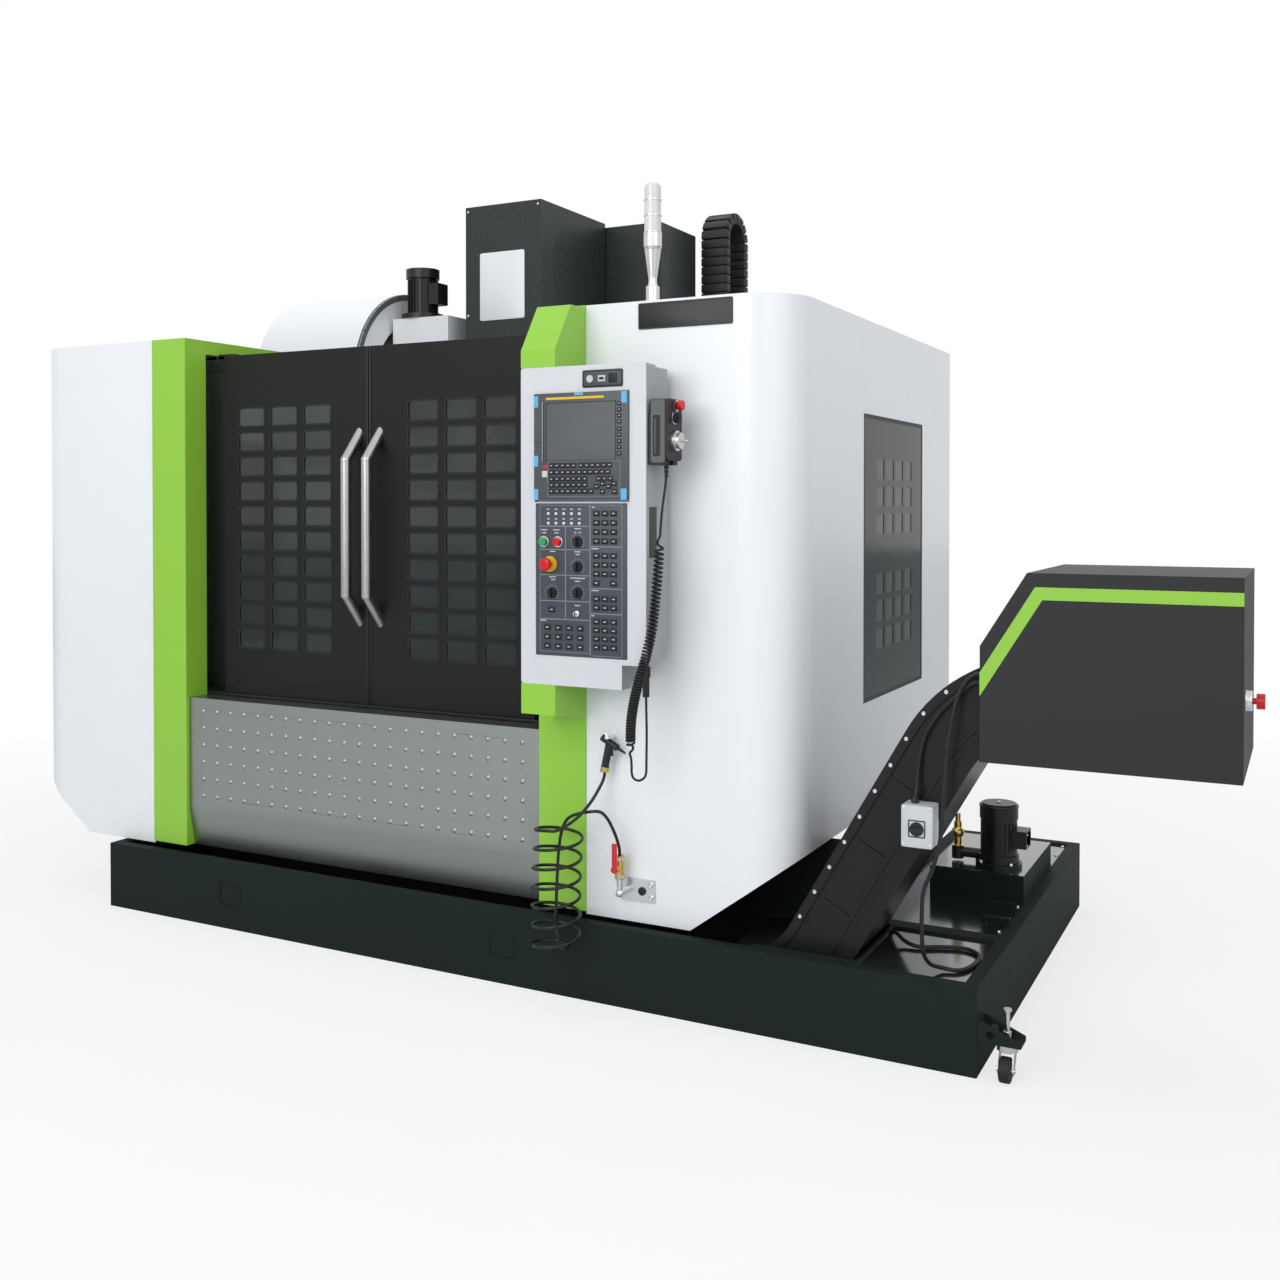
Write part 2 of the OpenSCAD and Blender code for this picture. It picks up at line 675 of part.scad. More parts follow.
// Dark side windows with two blocks of small lights
module side_window() difference() {
  box([half_w - sheet - 4, window_y0, window_z0], [half_w - 1, window_y1, window_z1]);
  for (i = [0 : 3], j = [0 : 2], k = [0, 1])
    translate([half_w - 3, window_y0 + 150 + i * 116, window_z0 + 170 + j * 96 + k * 400])
      cube([3, 86, 70]);
}
module side_windows() color([0.15, 0.19, 0.18]) place() {
  side_window();
  mirror([1, 0, 0]) side_window();
}

// Sloping chip pans between the bed and the side walls
module chip_pans() color("lightgray") place()
  for (s = [0, 1]) mirror([s, 0, 0]) slab_y(bed_y0, column_y - 10)
    polygon([[bed_half - 20, bed_top], [bed_half, bed_top], [half_w - sheet, bed_top + 130],
             [half_w - sheet, bed_top + 130 + sheet], [bed_half, bed_top + sheet],
             [bed_half - 20, bed_top + sheet]]);

// Brackets that carry the operator box on pivot pins
module panel_brackets() color([0.47, 0.76, 0.16]) place() {
  slab_x(panel_x0, bracket_x1)
    polygon([[-pillar_proud, panel_z1 + run_gap], [panel_y0, panel_z1 + run_gap],
             [panel_y0, panel_z1 + 54], [panel_y0 + 95, panel_z1 + 200],
             [-pillar_proud, panel_z1 + 203]]);
  slab_x(panel_x0, bracket_x1)
    polygon([[-pillar_proud, panel_z0 - run_gap], [panel_y0, panel_z0 - run_gap],
             [panel_y0, panel_z0 - 93], [-pillar_proud, panel_z0 - 126]]);
  translate([pivot_x, pivot_y, 0]) {
    rod_z(pivot_r, panel_z0 - 10, panel_z0 + pivot_l);
    rod_z(pivot_r, panel_z1 - pivot_l, panel_z1 + 10);
  }
}

// Signal lamp on the right panel's top lip
module signal_tower() color([0.75, 0.75, 0.75]) place()
  translate([1168, lip_w / 2, enclosure_h]) rotate_extrude()
    polygon([[0, 0], [21, 0], [21, 46], [16, 48], [13, 60], [13, 70], [26, 165], [28, 168], [28, 210],
             [26, 212], [26, 352], [20, 362], [0, 363]]);

// Front chip tank with rim, right-hand cover plate, lift plates and the jack caster's bracket
module chip_tank() color([0.13, 0.15, 0.15]) place() {
  difference() {
    box([tank_x0, tank_y0, 0], [tank_x1, tank_y1, tank_h]);
    box([tank_x0 + tank_t, tank_y0 + tank_t, tank_t],
        [tank_x1 - tank_t, tank_y1 - tank_t, tank_h - cover_drop - tank_t]);
    box([tank_x0 + rim_w, tank_y0 + rim_w, tank_h - cover_drop - tank_t - 1],
        [low_bend_x + 60, tank_y1 - tank_t - 6, tank_h + 1]);
    box([low_bend_x + 59, belt_y0 - 20, tank_h - cover_drop - tank_t - 1],
        [rise_x0 + belt_box * 0.575, belt_y1 + 6, tank_h + 1]);
    box([rise_x0 + belt_box * 0.575 + 10, tank_y0 + rim_w, tank_h - cover_drop],
        [tank_x1 - rim_w, tank_y1 - rim_w / 2, tank_h + 1]);
    for (x = [-556, 620]) box([x, tank_y0 - 1, 85], [x + 98, tank_y0 + 1.5, 165]);
  }
  difference() {
    slab_y(caster_y - 35, caster_y + 35)
      polygon([[tank_x1, fork_top + 10], [tank_x1, fork_top + 66], [tank_x1 + 14, fork_top + 66],
               [caster_x + 42, fork_top + 24], [caster_x + 42, fork_top + 10]]);
    box([tank_x1 + 8, caster_y - 27, fork_top + 20], [caster_x + 50, caster_y + 27, fork_top + 140]);
    translate([tank_x1 + 34, 0, fork_top + 34]) rod_y(10, caster_y - 40, caster_y + 40);
    translate([caster_x, caster_y, 0]) rod_z(11 + bore_gap, fork_top, fork_top + 30);
  }
}

// Rear coolant tank with recessed covers, pump plinth and cover handle
module coolant_tank() color([0.13, 0.15, 0.15]) place() {
  difference() {
    box([coolant_x0, coolant_y0, 0], [tank_x1, coolant_y1, tank_h]);
    box([coolant_x0 + rim_w, coolant_y0 + rim_w, tank_h - cover_drop],
        [tank_x1 - rim_w, coolant_y1 - rim_w, tank_h + 1]);
    box([coolant_x0 + tank_t, coolant_y0 + tank_t, tank_t],
        [tank_x1 - tank_t, coolant_y1 - tank_t, tank_h - cover_drop - tank_t]);
    translate([coolant_x0 + 100, coolant_y1 - 130, 0]) rod_z(45, tank_h - 30, tank_h);
  }
  box([1838, 775, tank_h - cover_drop], [tank_x1 - rim_w, 1260, tank_h - cover_drop + plinth_h]);
  for (x = [2076, 2148]) box([x, 515, tank_h - cover_drop], [x + 10, 525, tank_h + 14]);
  box([2076, 515, tank_h + 14], [2158, 525, tank_h + 24]);
}

// Coolant pump: foot, motor with fan cowl, terminal box and delivery pipe with valve
module coolant_pump() color([0.1, 0.12, 0.12]) place() translate([pump_x, pump_y, tank_h - cover_drop + plinth_h]) {
  rod_z(pump_r + 14, 0, 14);
  rod_z(pump_r + 4, 14, 40);
  difference() {
    rod_z(pump_r - 2, 40, 160);
    for (a = [0 : 15 : 345]) rotate([0, 0, a]) translate([pump_r - 6, -2, 56]) cube([8, 4, 96]);
  }
  rod_z(pump_r + 1, 160, 205);
  rod_z(pump_r - 6, 205, 211);
  box([pump_r - 12, -38, 70], [pump_r + 36, 38, 128]);
  translate([0, 0, 30]) rod_x(17, -138, -40);
  translate([-138, 0, 0]) {
    rod_z(20, 8, 52);
    rod_z(13, 52, 132);
    translate([0, 0, 96]) sphere(21);
    rod_z(9, 132, 160);
  }
}

// Points on a bend round a centre, from one direction to another
function bend(centre, r, from, to) = [
  for (k = [0:bend_steps]) let (a = from + (to - from) * k / bend_steps) centre + r * [cos(a), sin(a)]];
// Side view of a band along the conveyor between two places, lo and hi from its middle line
module belt_band(lo, hi, x0, x1) {
  low = [low_bend_x, level_z + low_bend_r];
  high = [outlet_x, outlet_z - high_bend_r];
  polygon(concat(
    [[x0, level_z + lo]],
    bend(low, low_bend_r - lo, -90, rise_angle - 90),
    bend(high, high_bend_r + lo, rise_angle + 90, 90),
    [[x1, outlet_z + lo], [x1, outlet_z + hi]],
    bend(high, high_bend_r + hi, 90, rise_angle + 90),
    bend(low, low_bend_r - hi, rise_angle - 90, -90),
    [[x0, level_z + hi]]));
}

// Conveyor trough: level run in the tank, rising run and outlet, with flanges, rib and stiffeners in front
module conveyor_trough() color([0.11, 0.12, 0.12]) place() {
  half = belt_box / 2;
  end_x = outlet_x + outlet_l;
  difference() {
    slab_y(belt_y0, belt_y1) belt_band(-half, half, level_x0, end_x);
    box([level_x0 + 6, belt_y0 + 6, level_z], [low_bend_x - 20, belt_y1 - 6, level_z + belt_box]);
  }
  for (x = [-900, -100, 700, 1300])
    box([x, belt_y0 + 20, tank_t], [x + 40, belt_y1 - 20, level_z - half]);
  slab_y(belt_y0 - 8, belt_y0 + 2) {
    belt_band(half - 24, half + 2, low_bend_x - 20, end_x - 10);
    belt_band(-half - 2, 34 - half, low_bend_x - 20, end_x - 10);
  }
  slab_y(belt_y0 - 5, belt_y0 + 2) belt_band(-42, -32, low_bend_x - 10, end_x - 20);
  for (d = [120, 330, 540])
    translate([rise_x0, 0, rise_z0]) rotate([0, -rise_angle, 0])
      translate([d, belt_y0 - 5, -34]) cube([10, 7, half - 10]);
}

// Folded hood over the conveyor's head, open below at the chip outlet
module hood_side(inset) polygon([
  [hood_x0 + inset, hood_z0], [hood_x0 + inset, hood_slant_z], [hood_x0 + hood_slant_x + inset / 2, hood_top - inset],
  [hood_x1 - inset, hood_top - inset], [hood_x1 - inset, hood_z0]]);
module conveyor_hood() color([0.16, 0.17, 0.18]) place() {
  difference() {
    slab_y(hood_y0, hood_y1) hood_side(0);
    slab_y(hood_y0 + sheet, hood_y1 - sheet) hood_side(sheet);
    box([hood_x0 + sheet, hood_y0 + sheet, hood_z0 - 1], [hood_x1 - sheet, hood_y1 - sheet, hood_z0 + 10]);
    box([hood_x0 - 1, belt_y0 - 16, hood_z0 - 1], [hood_x0 + sheet + 1, belt_y1 + 2, outlet_z + belt_box / 2 + 6]);
    translate([0, knock_y, knock_z]) rod_x(8 + bore_gap, hood_x1 - 10, hood_x1 + 30);
  }
  // Floor on which the conveyor's head stands
  box([outlet_x, hood_y0 + sheet, outlet_z - belt_box / 2 - 20],
      [outlet_x + outlet_l, hood_y1 - sheet, outlet_z - belt_box / 2 - 2]);
  difference() {
    translate([0, knock_y, knock_z]) rod_x(26, hood_x1, hood_x1 + 16);
    translate([0, knock_y, knock_z]) rod_x(8 + bore_gap, hood_x1 - 10, hood_x1 + 30);
  }
}
module conveyor_button() color("red") place() translate([0, knock_y, knock_z]) {
  rod_x(8, hood_x1 + 2, hood_x1 + 26);
  rod_x(20, hood_x1 + 25, hood_x1 + knock_out);
}

// Isolator box on the conveyor and its rotary knob
module switch_box() color("gainsboro") place() difference() {
  slab_y(switch_y0, switch_y1) translate([switch_x0, switch_z0]) soft_rect(switch_x1 - switch_x0, switch_z1 - switch_z0, 6);
  translate([switch_xc, 0, switch_zc]) rod_y(5 + bore_gap, switch_y0 - 1, switch_y0 + 12);
}
module switch_knob() color([0.08, 0.08, 0.08]) place() translate([switch_xc, 0, switch_zc]) {
  rod_y(5, switch_y0 - 2, switch_y0 + 10);
  rod_y(19, switch_y0 - 8, switch_y0 - run_gap);
  box([-18, switch_y0 - 22, -5], [18, switch_y0 - 7, 5]);
}
module switch_cable() color([0.06, 0.06, 0.06]) place() {
  tube(cable_route);
  tube(branch_route);
}

// Magazine drum cover, open towards the spindle and at the tool change port
module magazine_cover() color("white") place() translate([0, spindle_y, drum_z]) difference() {
  rod_x(drum_r, drum_x0, drum_x1);
  rod_x(drum_r - sheet, drum_x0 + sheet, drum_x1 - sheet);
  rod_x(drum_mouth_r, drum_x1 - sheet - 1, drum_x1 + 1);
  rod_x(disc_shaft_r + bore_gap, drum_x0 - 1, drum_x0 + sheet + 1);
  box([-900, -70, -drum_r - 1], [-700, 70, -drum_r + 60]);
}
// Carousel with its ring of tool pots
module magazine_disc() color("silver") place() translate([0, spindle_y, drum_z]) {
  rod_x(disc_shaft_r, drum_x0 - 12, disc_x + 1);
  difference() {
    rod_x(pot_circle_r + 10, disc_x, disc_x + disc_t);
    for (a = [30 : 60 : 330]) rotate([a, 0, 0]) translate([0, 160, 0]) rod_x(60, disc_x - 1, disc_x + disc_t + 1);
  }
  for (i = [0 : pot_count - 1]) rotate([i * 360 / pot_count, 0, 0]) translate([0, pot_circle_r, 0])
    difference() {
      rod_x(pot_r, disc_x + disc_t - 1, disc_x + disc_t + pot_l);
      rod_x(pot_r - 8, disc_x + disc_t + 20, disc_x + disc_t + pot_l + 1);
    }
}
// Tool changer gear case with its carrying arm on the column and its finned motor
module cam_box() color("gainsboro") place() {
  difference() {
    box([cam_x0, cam_y0, cam_z0], [cam_x1, cam_y1, cam_z1]);
    translate([arm_x, spindle_y, 0]) rod_z(arm_shaft_r + bore_gap, cam_z0 - 1, cam_z0 + 80);
  }
  box([drum_x1, cam_y1 - 1, cam_z0 + 20], [-column_half, column_y + 80, cam_z1 - 80]);
  translate([cam_x0 + 100, cam_y0 + 80, 0]) {
    rod_z(motor_r + 20, cam_z1, cam_z1 + 22);
    rod_z(motor_r - 14, cam_z1 + 22, cam_z1 + 190);
    for (a = [0 : 15 : 345]) rotate([0, 0, a]) translate([0, -1.5, cam_z1 + 30]) cube([motor_r - 6, 3, 140]);
    rod_z(motor_r, cam_z1 + 176, cam_z1 + 216);
    box([motor_r - 20, -36, cam_z1 + 60], [motor_r + 34, 36, cam_z1 + 150]);
  }
}
// Double-ended tool arm on its shaft
module tool_arm() color("silver") place() translate([arm_x, spindle_y, 0]) {
  rod_z(arm_shaft_r, arm_z, cam_z0 + 70);
  translate([0, 0, arm_z - arm_t]) linear_extrude(arm_t + 1) difference() {
    union() {
      circle(75);
      translate([-32, -arm_reach]) square([64, 2 * arm_reach]);
      for (s = [-1, 1]) translate([0, s * arm_reach]) circle(56);
    }
    for (s = [-1, 1]) translate([0, s * arm_reach]) {
      circle(32);
      translate([s > 0 ? 0 : -80, -24]) square([80, 48]);
    }
  }
}

// Saddle with shoes on the bed rails, rails for the table and the front way cover
module saddle() color("slategray") place() {
  y0 = spindle_y - saddle_d / 2;
  difference() {
    union() {
      box([-saddle_half, y0, saddle_z0], [saddle_half, y0 + saddle_d, saddle_top]);
      for (s = [-1, 1]) translate([s * bed_rail_x - 50, y0, bed_top + run_gap])
        cube([100, saddle_d, saddle_z0 - bed_top + 1]);
      for (s = [-1, 1]) translate([-saddle_half, spindle_y + s * saddle_rail_y - rail_w / 2, saddle_top - 1])
        cube([2 * saddle_half, rail_w, rail_h + 1]);
    }
    for (s = [-1, 1]) translate([s * bed_rail_x - rail_w / 2 - run_gap, y0 - 1, bed_top])
      cube([rail_w + 2 * run_gap, saddle_d + 2, rail_h + run_gap]);
    for (x = [-330, 0, 330]) box([x - 120, y0 + 90, saddle_z0 - 1], [x + 120, y0 + saddle_d - 90, saddle_z0 + 60]);
  }
  slab_y(y0 - y_cover_l, y0)
    polygon([[-saddle_half + 20, saddle_z0 - 20], [-saddle_half + 20, saddle_z0 + 60], [0, saddle_z0 + 90],
             [saddle_half - 20, saddle_z0 + 60], [saddle_half - 20, saddle_z0 - 20],
             [saddle_half - 23, saddle_z0 - 20], [saddle_half - 23, saddle_z0 + 57], [0, saddle_z0 + 87],
             [23 - saddle_half, saddle_z0 + 57], [23 - saddle_half, saddle_z0 - 20]]);
}

// Work table with T-slots, shoes on the saddle rails and a way cover at each end
module table() color("lightslategray") place() translate([0, spindle_y, 0]) {
  half = table_l / 2;
  slots = floor(table_w / slot_pitch) - 1;
  difference() {
    box([-half, -table_w / 2, table_z0], [half, table_w / 2, table_z]);
    for (i = [0 : slots - 1]) translate([0, (i - (slots - 1) / 2) * slot_pitch, 0]) {
      box([-half - 1, -slot_w / 2, table_z - 40], [half + 1, slot_w / 2, table_z + 1]);
      box([-half - 1, -slot_w, table_z - 40], [half + 1, slot_w, table_z - 26]);
    }
  }
  for (s = [-1, 1]) translate([0, s * saddle_rail_y, 0]) difference() {
    box([-half / 2, -55, saddle_top + run_gap], [half / 2, 55, table_z0]);
    box([-half, -rail_w / 2 - run_gap, saddle_top], [half, rail_w / 2 + run_gap, saddle_top + rail_h + run_gap]);
  }
  for (s = [0, 1]) mirror([s, 0, 0]) slab_x(half, half + x_cover_l)
    polygon([[-290, table_z0 - 10], [-290, table_z0 + 50], [0, table_z0 + 70], [290, table_z0 + 50],
             [290, table_z0 - 10], [287, table_z0 - 10], [287, table_z0 + 47], [0, table_z0 + 67],
             [-287, table_z0 + 47], [-287, table_z0 - 10]]);
}

// Head casting with slide, quill housing, motor, way cover and carrier bracket
module headstock() color("slategray") place() {
  difference() {
    union() {
      box([-head_half + sheet, head_front + 40, head_floor], [head_half - sheet, head_back + 1, head_floor + 340]);
      box([-carriage_half, head_back, head_floor - 40], [carriage_half, column_y - run_gap, carriage_top]);
      box([-110, spindle_y - 110, head_floor + 339], [110, spindle_y + 110, head_floor + 700]);
      translate([0, spindle_y, 0]) rod_z(quill_r, nose_z + 20, head_floor + 1);
      translate([0, spindle_y, 0]) rod_z(quill_r + 25, head_floor - 60, head_floor + 1);
    }
    translate([0, spindle_y, 0]) rod_z(spindle_r + bore_gap, nose_z - 1, nose_z + 300);
    for (s = [-1, 1]) translate([s * column_rail_x - rail_w / 2 - run_gap, column_y - rail_tall - run_gap, head_floor - 41])
      cube([rail_w + 2 * run_gap, rail_tall + 1, carriage_top]);
  }
  box([-280, column_y - 60, head_floor - 300], [280, column_y - 57, head_floor - 39]);
  box([carriage_half - 1, column_y - 110, carrier_front_z - 60],
      [carrier_x0 + carrier_w, column_y - 50, carrier_front_z]);
  box([carrier_x0, column_y - 51, carrier_front_z - 60],
      [carrier_x0 + carrier_w, carrier_y - carrier_r + carrier_t / 2, carrier_front_z]);
}
// Folded cover round the head and the spindle motor
module head_cover() color([0.17, 0.18, 0.18]) place() difference() {
  box([-head_half, head_front, head_floor - 20], [head_half, head_back, head_top]);
  box([-head_half + sheet, head_front + sheet, head_floor - 21], [head_half - sheet, head_back - sheet, head_top - sheet]);
  box([-head_half + sheet, head_back - sheet - 1, head_floor - 21], [head_half - sheet, head_back + 1, head_floor + 341]);
}
// Spindle rotor with its taper and drive keys
module spindle() color("silver") place() translate([0, spindle_y, 0]) {
  difference() {
    union() {
      rod_z(spindle_r, nose_z, nose_z + 290);
      rod_z(64, nose_z, nose_z + 18);
    }
    translate([0, 0, nose_z - 0.01]) cylinder(r1 = 22.2, r2 = 12.7, h = 65.4);
    rod_z(12.7, nose_z + 65, nose_z + 120);
  }
  for (s = [-1, 1]) translate([s * 36 - 8, -8, nose_z - 8]) cube([16, 16, 9]);
}

// Operator box: front frame, narrower rear housing, pendant holder and cord gland
module control_box() color("whitesmoke") place() {
  front_d = 62;
  inset = 8;
  difference() {
    union() {
      slab_y(panel_y0, panel_y0 + front_d) difference() {
        translate([panel_x0, panel_z0]) soft_rect(panel_w, panel_z1 - panel_z0, 8);
        translate([panel_x1 - notch_w, panel_z0 - 1]) square([notch_w + 1, notch_z - panel_z0 + 1]);
      }
      slab_y(panel_y0 + front_d, panel_y1) difference() {
        translate([panel_x0 + inset, panel_z0 + inset])
          square([panel_w - 2 * inset, panel_z1 - panel_z0 - 2 * inset]);
        translate([panel_x1 - notch_w - inset, panel_z0]) square([notch_w + inset, notch_z - panel_z0 + inset]);
      }
      box([pivot_x - 40, pivot_y - 40, panel_z0], [pivot_x + 40, panel_y1, panel_z1]);
    }
    translate([pivot_x, pivot_y, 0]) {
      rod_z(pivot_r + bore_gap, panel_z0 - 1, panel_z0 + pivot_l + 5);
      rod_z(pivot_r + bore_gap, panel_z1 - pivot_l - 5, panel_z1 + 1);
    }
    box([878, panel_y0 - 1, 1549], [1203, panel_face + unit_t, 1877]);
    box([882, panel_y0 - 1, 1086], [1196, panel_face + unit_t, 1546]);
  }
  // Pocket that holds the pendant
  box([panel_x1 - 9, pendant_y0, pendant_z0 - 12], [pendant_x0, pendant_y0 + pendant_w, pendant_z1 - 40]);
  box([pendant_x0 - 1, pendant_y0, pendant_z0 - 12], [pendant_x1 - 14, pendant_y0 + 30, pendant_z0]);
  box([pendant_x0 - 1, pendant_y0 + pendant_w - 30, pendant_z0 - 12], [pendant_x1 - 14, pendant_y0 + pendant_w, pendant_z0]);
  translate([1222, -120, 0]) {
    rod_z(13, notch_z - 40, notch_z + 1);
    rod_z(10, 970, notch_z - 39);
  }
}
// Screen unit and lower key unit with their keys, and bores for the round controls
module key_grid(x, z, cols, rows, pitch_x, pitch_z, w, h, y)
  for (i = [0 : cols - 1], j = [0 : rows - 1])
    box([x + i * pitch_x, y - 2, z + j * pitch_z], [x + i * pitch_x + w, y + 1, z + j * pitch_z + h]);
module panel_units() color([0.13, 0.14, 0.16]) place() {
  difference() {
    slab_y(panel_face - 3, panel_face + unit_t) translate([878, 1549]) soft_rect(325, 328, 6);
    box([899, panel_face - 4, 1682], [1144, panel_face, 1850]);
  }
  key_grid(1158, 1690, 1, 8, 20, 20, 18, 12, panel_face - 3);
  key_grid(900, 1562, 8, 4, 20, 21, 15, 15, panel_face - 3);
  key_grid(1072, 1562, 5, 4, 24, 21, 18, 15, panel_face - 3);
  difference() {
    slab_y(panel_face, panel_face + unit_t) translate([882, 1086]) soft_rect(314, 460, 6);
    for (at = [start_at, stop_at, estop_at, feed_at, spindle_at, mode_at, rapid_at])
      translate([at[0], 0, at[1]]) rod_y(stem_r + bore_gap, panel_face - 1, panel_face + unit_t - 2);
  }
  key_grid(1086, 1398, 3, 5, 35, 28, 28, 20, panel_face);
  key_grid(1086, 1244, 3, 4, 35, 30, 28, 20, panel_face);
  key_grid(1086, 1100, 3, 4, 35, 30, 28, 20, panel_face);
  key_grid(896, 1104, 4, 3, 42, 32, 32, 22, panel_face);
  key_grid(898, 1476, 5, 3, 34, 18, 12, 8, panel_face);
}
// Push button on a stem
module push_button(at, r, out) translate([at[0], 0, at[1]]) {
  rod_y(stem_r, panel_face - press - 3, panel_face + stem_l);
  rod_y(r, panel_face - out, panel_face - press - 2);
}
module start_button() color([0.1, 0.6, 0.25]) place() push_button(start_at, button_r, 14);
module stop_button() color([0.8, 0.1, 0.1]) place() push_button(stop_at, button_r, 14);
module estop_button() color([0.85, 0.08, 0.08]) place() translate([estop_at[0], 0, estop_at[1]]) {
  rod_y(stem_r, panel_face - 21, panel_face + stem_l);
  translate([0, panel_face - estop_out, 0]) rotate([-90, 0, 0]) rotate_extrude()
    polygon([[0, 0], [12, 0], [18, 3], [20, 8], [19, 14], [12, 18], [0, 18]]);
}
// Rotary selector with a finger bar
module knob(at) translate([at[0], 0, at[1]]) {
  rod_y(stem_r, panel_face - 2, panel_face + stem_l);
  rod_y(16, panel_face - 7, panel_face - run_gap);
  intersection() {
    rod_y(13, panel_face - 22, panel_face - 6);
    box([-5, panel_face - 23, -13], [5, panel_face, 13]);
  }
}
module feed_knob() color([0.07, 0.07, 0.07]) place() knob(feed_at);
module spindle_knob() color([0.07, 0.07, 0.07]) place() knob(spindle_at);
module mode_knob() color([0.07, 0.07, 0.07]) place() knob(mode_at);
module rapid_knob() color([0.07, 0.07, 0.07]) place() knob(rapid_at);

// Pendant body with bores for its wheel, selector and stop button
module pendant_body() color([0.2, 0.2, 0.21]) place() difference() {
  union() {
    slab_x(pendant_x0, pendant_x1) translate([pendant_y0, pendant_z0])
      soft_rect(pendant_w, pendant_z1 - pendant_z0, 12);
    translate([1295, pendant_yc, 0]) rod_z(10, pendant_z0 - 10, pendant_z0 + 5);
  }
  for (z = [wheel_z, selector_z, stop_z])
    translate([0, pendant_yc + (z == stop_z ? 14 : 0), z]) rod_x(stem_r + bore_gap, pendant_x1 - 20, pendant_x1 + 1);
  translate([1295, pendant_yc, 0]) rod_z(5.2, pendant_z0 - 11, pendant_z0);
}
module pendant_wheel() color("silver") place() translate([0, pendant_yc, wheel_z]) {
  rod_x(stem_r, pendant_x1 - 18, pendant_x1 + 5);
  rod_x(wheel_r, pendant_x1 + run_gap, pendant_x1 + 10);
  rod_x(wheel_r - 6, pendant_x1 + 9, pendant_x1 + 22);
  translate([0, 14, 0]) rod_x(5, pendant_x1 + 21, pendant_x1 + 34);
}
module pendant_knob() color([0.1, 0.1, 0.1]) place() translate([0, pendant_yc, selector_z]) {
  rod_x(stem_r, pendant_x1 - 18, pendant_x1 + 3);
  rod_x(15, pendant_x1 + run_gap, pendant_x1 + 12);
  box([pendant_x1 + 11, -4, -13], [pendant_x1 + 22, 4, 13]);
}
module pendant_button() color("red") place() translate([0, pendant_yc + 14, stop_z]) {
  rod_x(stem_r, pendant_x1 - 14, pendant_x1 + 8);
  rod_x(15, pendant_x1 + 7, pendant_x1 + 20);
}
module pendant_cord() color([0.06, 0.06, 0.06]) place() tube(pendant_route);

// Blow gun on its hook: body, nozzle, grip with a slot for the trigger, and hose nut
module air_gun() color([0.12, 0.12, 0.12]) place() translate([gun_x, gun_y, gun_z]) difference() {
  union() {
    translate([0, 0, 8]) rotate([0, -62, 0]) translate([0, 0, -34]) cylinder(r = 11, h = 62);
    translate([0, 0, 8]) rotate([0, -62, 0]) translate([0, 0, -64]) cylinder(r1 = 3, r2 = 6, h = 32);
    rotate([0, -168, 0]) cylinder(r = 12, h = 72);
    translate([-17.5, 0, -88]) rotate([0, 12, 0]) cylinder(r = 14, h = 20);
  }
  box([-8, -trigger_w / 2 - run_gap, -36], [26, trigger_w / 2 + run_gap, -10]);
  translate([trigger_x, 0, trigger_z]) rod_y(2, -14, 14);
  box([-5 - run_gap, -40, 20 - run_gap], [5 + run_gap, 40, 26 + run_gap]);
  box([-40, -40, -104], [40, 40, gun_nut]);
}
module gun_trigger() color([0.1, 0.1, 0.1]) place() translate([gun_x, gun_y, gun_z]) {
  box([-4, -trigger_w / 2, -34], [13, trigger_w / 2, -14]);
  translate([trigger_x, 0, trigger_z]) rod_y(2 - bore_gap, -10, 10);
}
module air_hose() color([0.05, 0.05, 0.06]) place() {
  tube(hose_route);
  tube(gun_route);
}

// Air inlet plate with an elbow, riser pipe and upright ball valve
module valve_body() color([0.72, 0.6, 0.3]) place() {
  box([1076, -6, 317], [1194, 0, 387]);
  translate([valve_x, valve_y, 345]) {
    rod_y(11, 0, -valve_y - 6);
    sphere(13);
    rod_z(9, 0, 46);
  }
  difference() {
    translate([valve_x, valve_y, 0]) {
      rod_z(15, valve_z - 35, valve_z + 37);
      translate([0, 0, valve_z]) rod_y(11, valve_stem, 0);
    }
    translate([valve_x, valve_y, valve_z]) rod_y(4 + bore_gap, valve_stem - 1, valve_stem + 14);
  }
}
module valve_lever() color("red") place() translate([valve_x, valve_y + valve_stem, valve_z]) {
  rod_y(4, -3, 12);
  rod_y(11, -6 - run_gap, -run_gap);
  box([-8, -5 - run_gap, 0], [8, -run_gap, 80]);
}

// Swivelling fork of the tank's jack caster with its screw, and the wheel that it carries
module caster_fork() color("silver") place() translate([caster_x, caster_y, 0]) rotate([0, 0, -90]) {
  rod_z(11, fork_top - 1, fork_top + 40);
  rod_z(6, fork_top + 39, fork_top + 97);
  rod_z(11, fork_top + 96, fork_top + 102);
  rod_z(28, fork_top - 10, fork_top + 10 - run_gap);
  for (s = [-1, 1]) slab_y(s * 20 - 2, s * 20 + 2)
    polygon([[-24, fork_top - 5], [24, fork_top - 5], [36, wheel_radius], [24, wheel_radius - 14], [12, wheel_radius]]);
  translate([24, 0, wheel_radius]) rod_y(6, -26, 26);
}
module caster_wheel() color([0.1, 0.1, 0.1]) place() translate([caster_x, caster_y, 0]) rotate([0, 0, -90])
  translate([24, 0, wheel_radius]) difference() {
    rod_y(wheel_radius, -15, 15);
    rod_y(6 + bore_gap, -16, 16);
  }

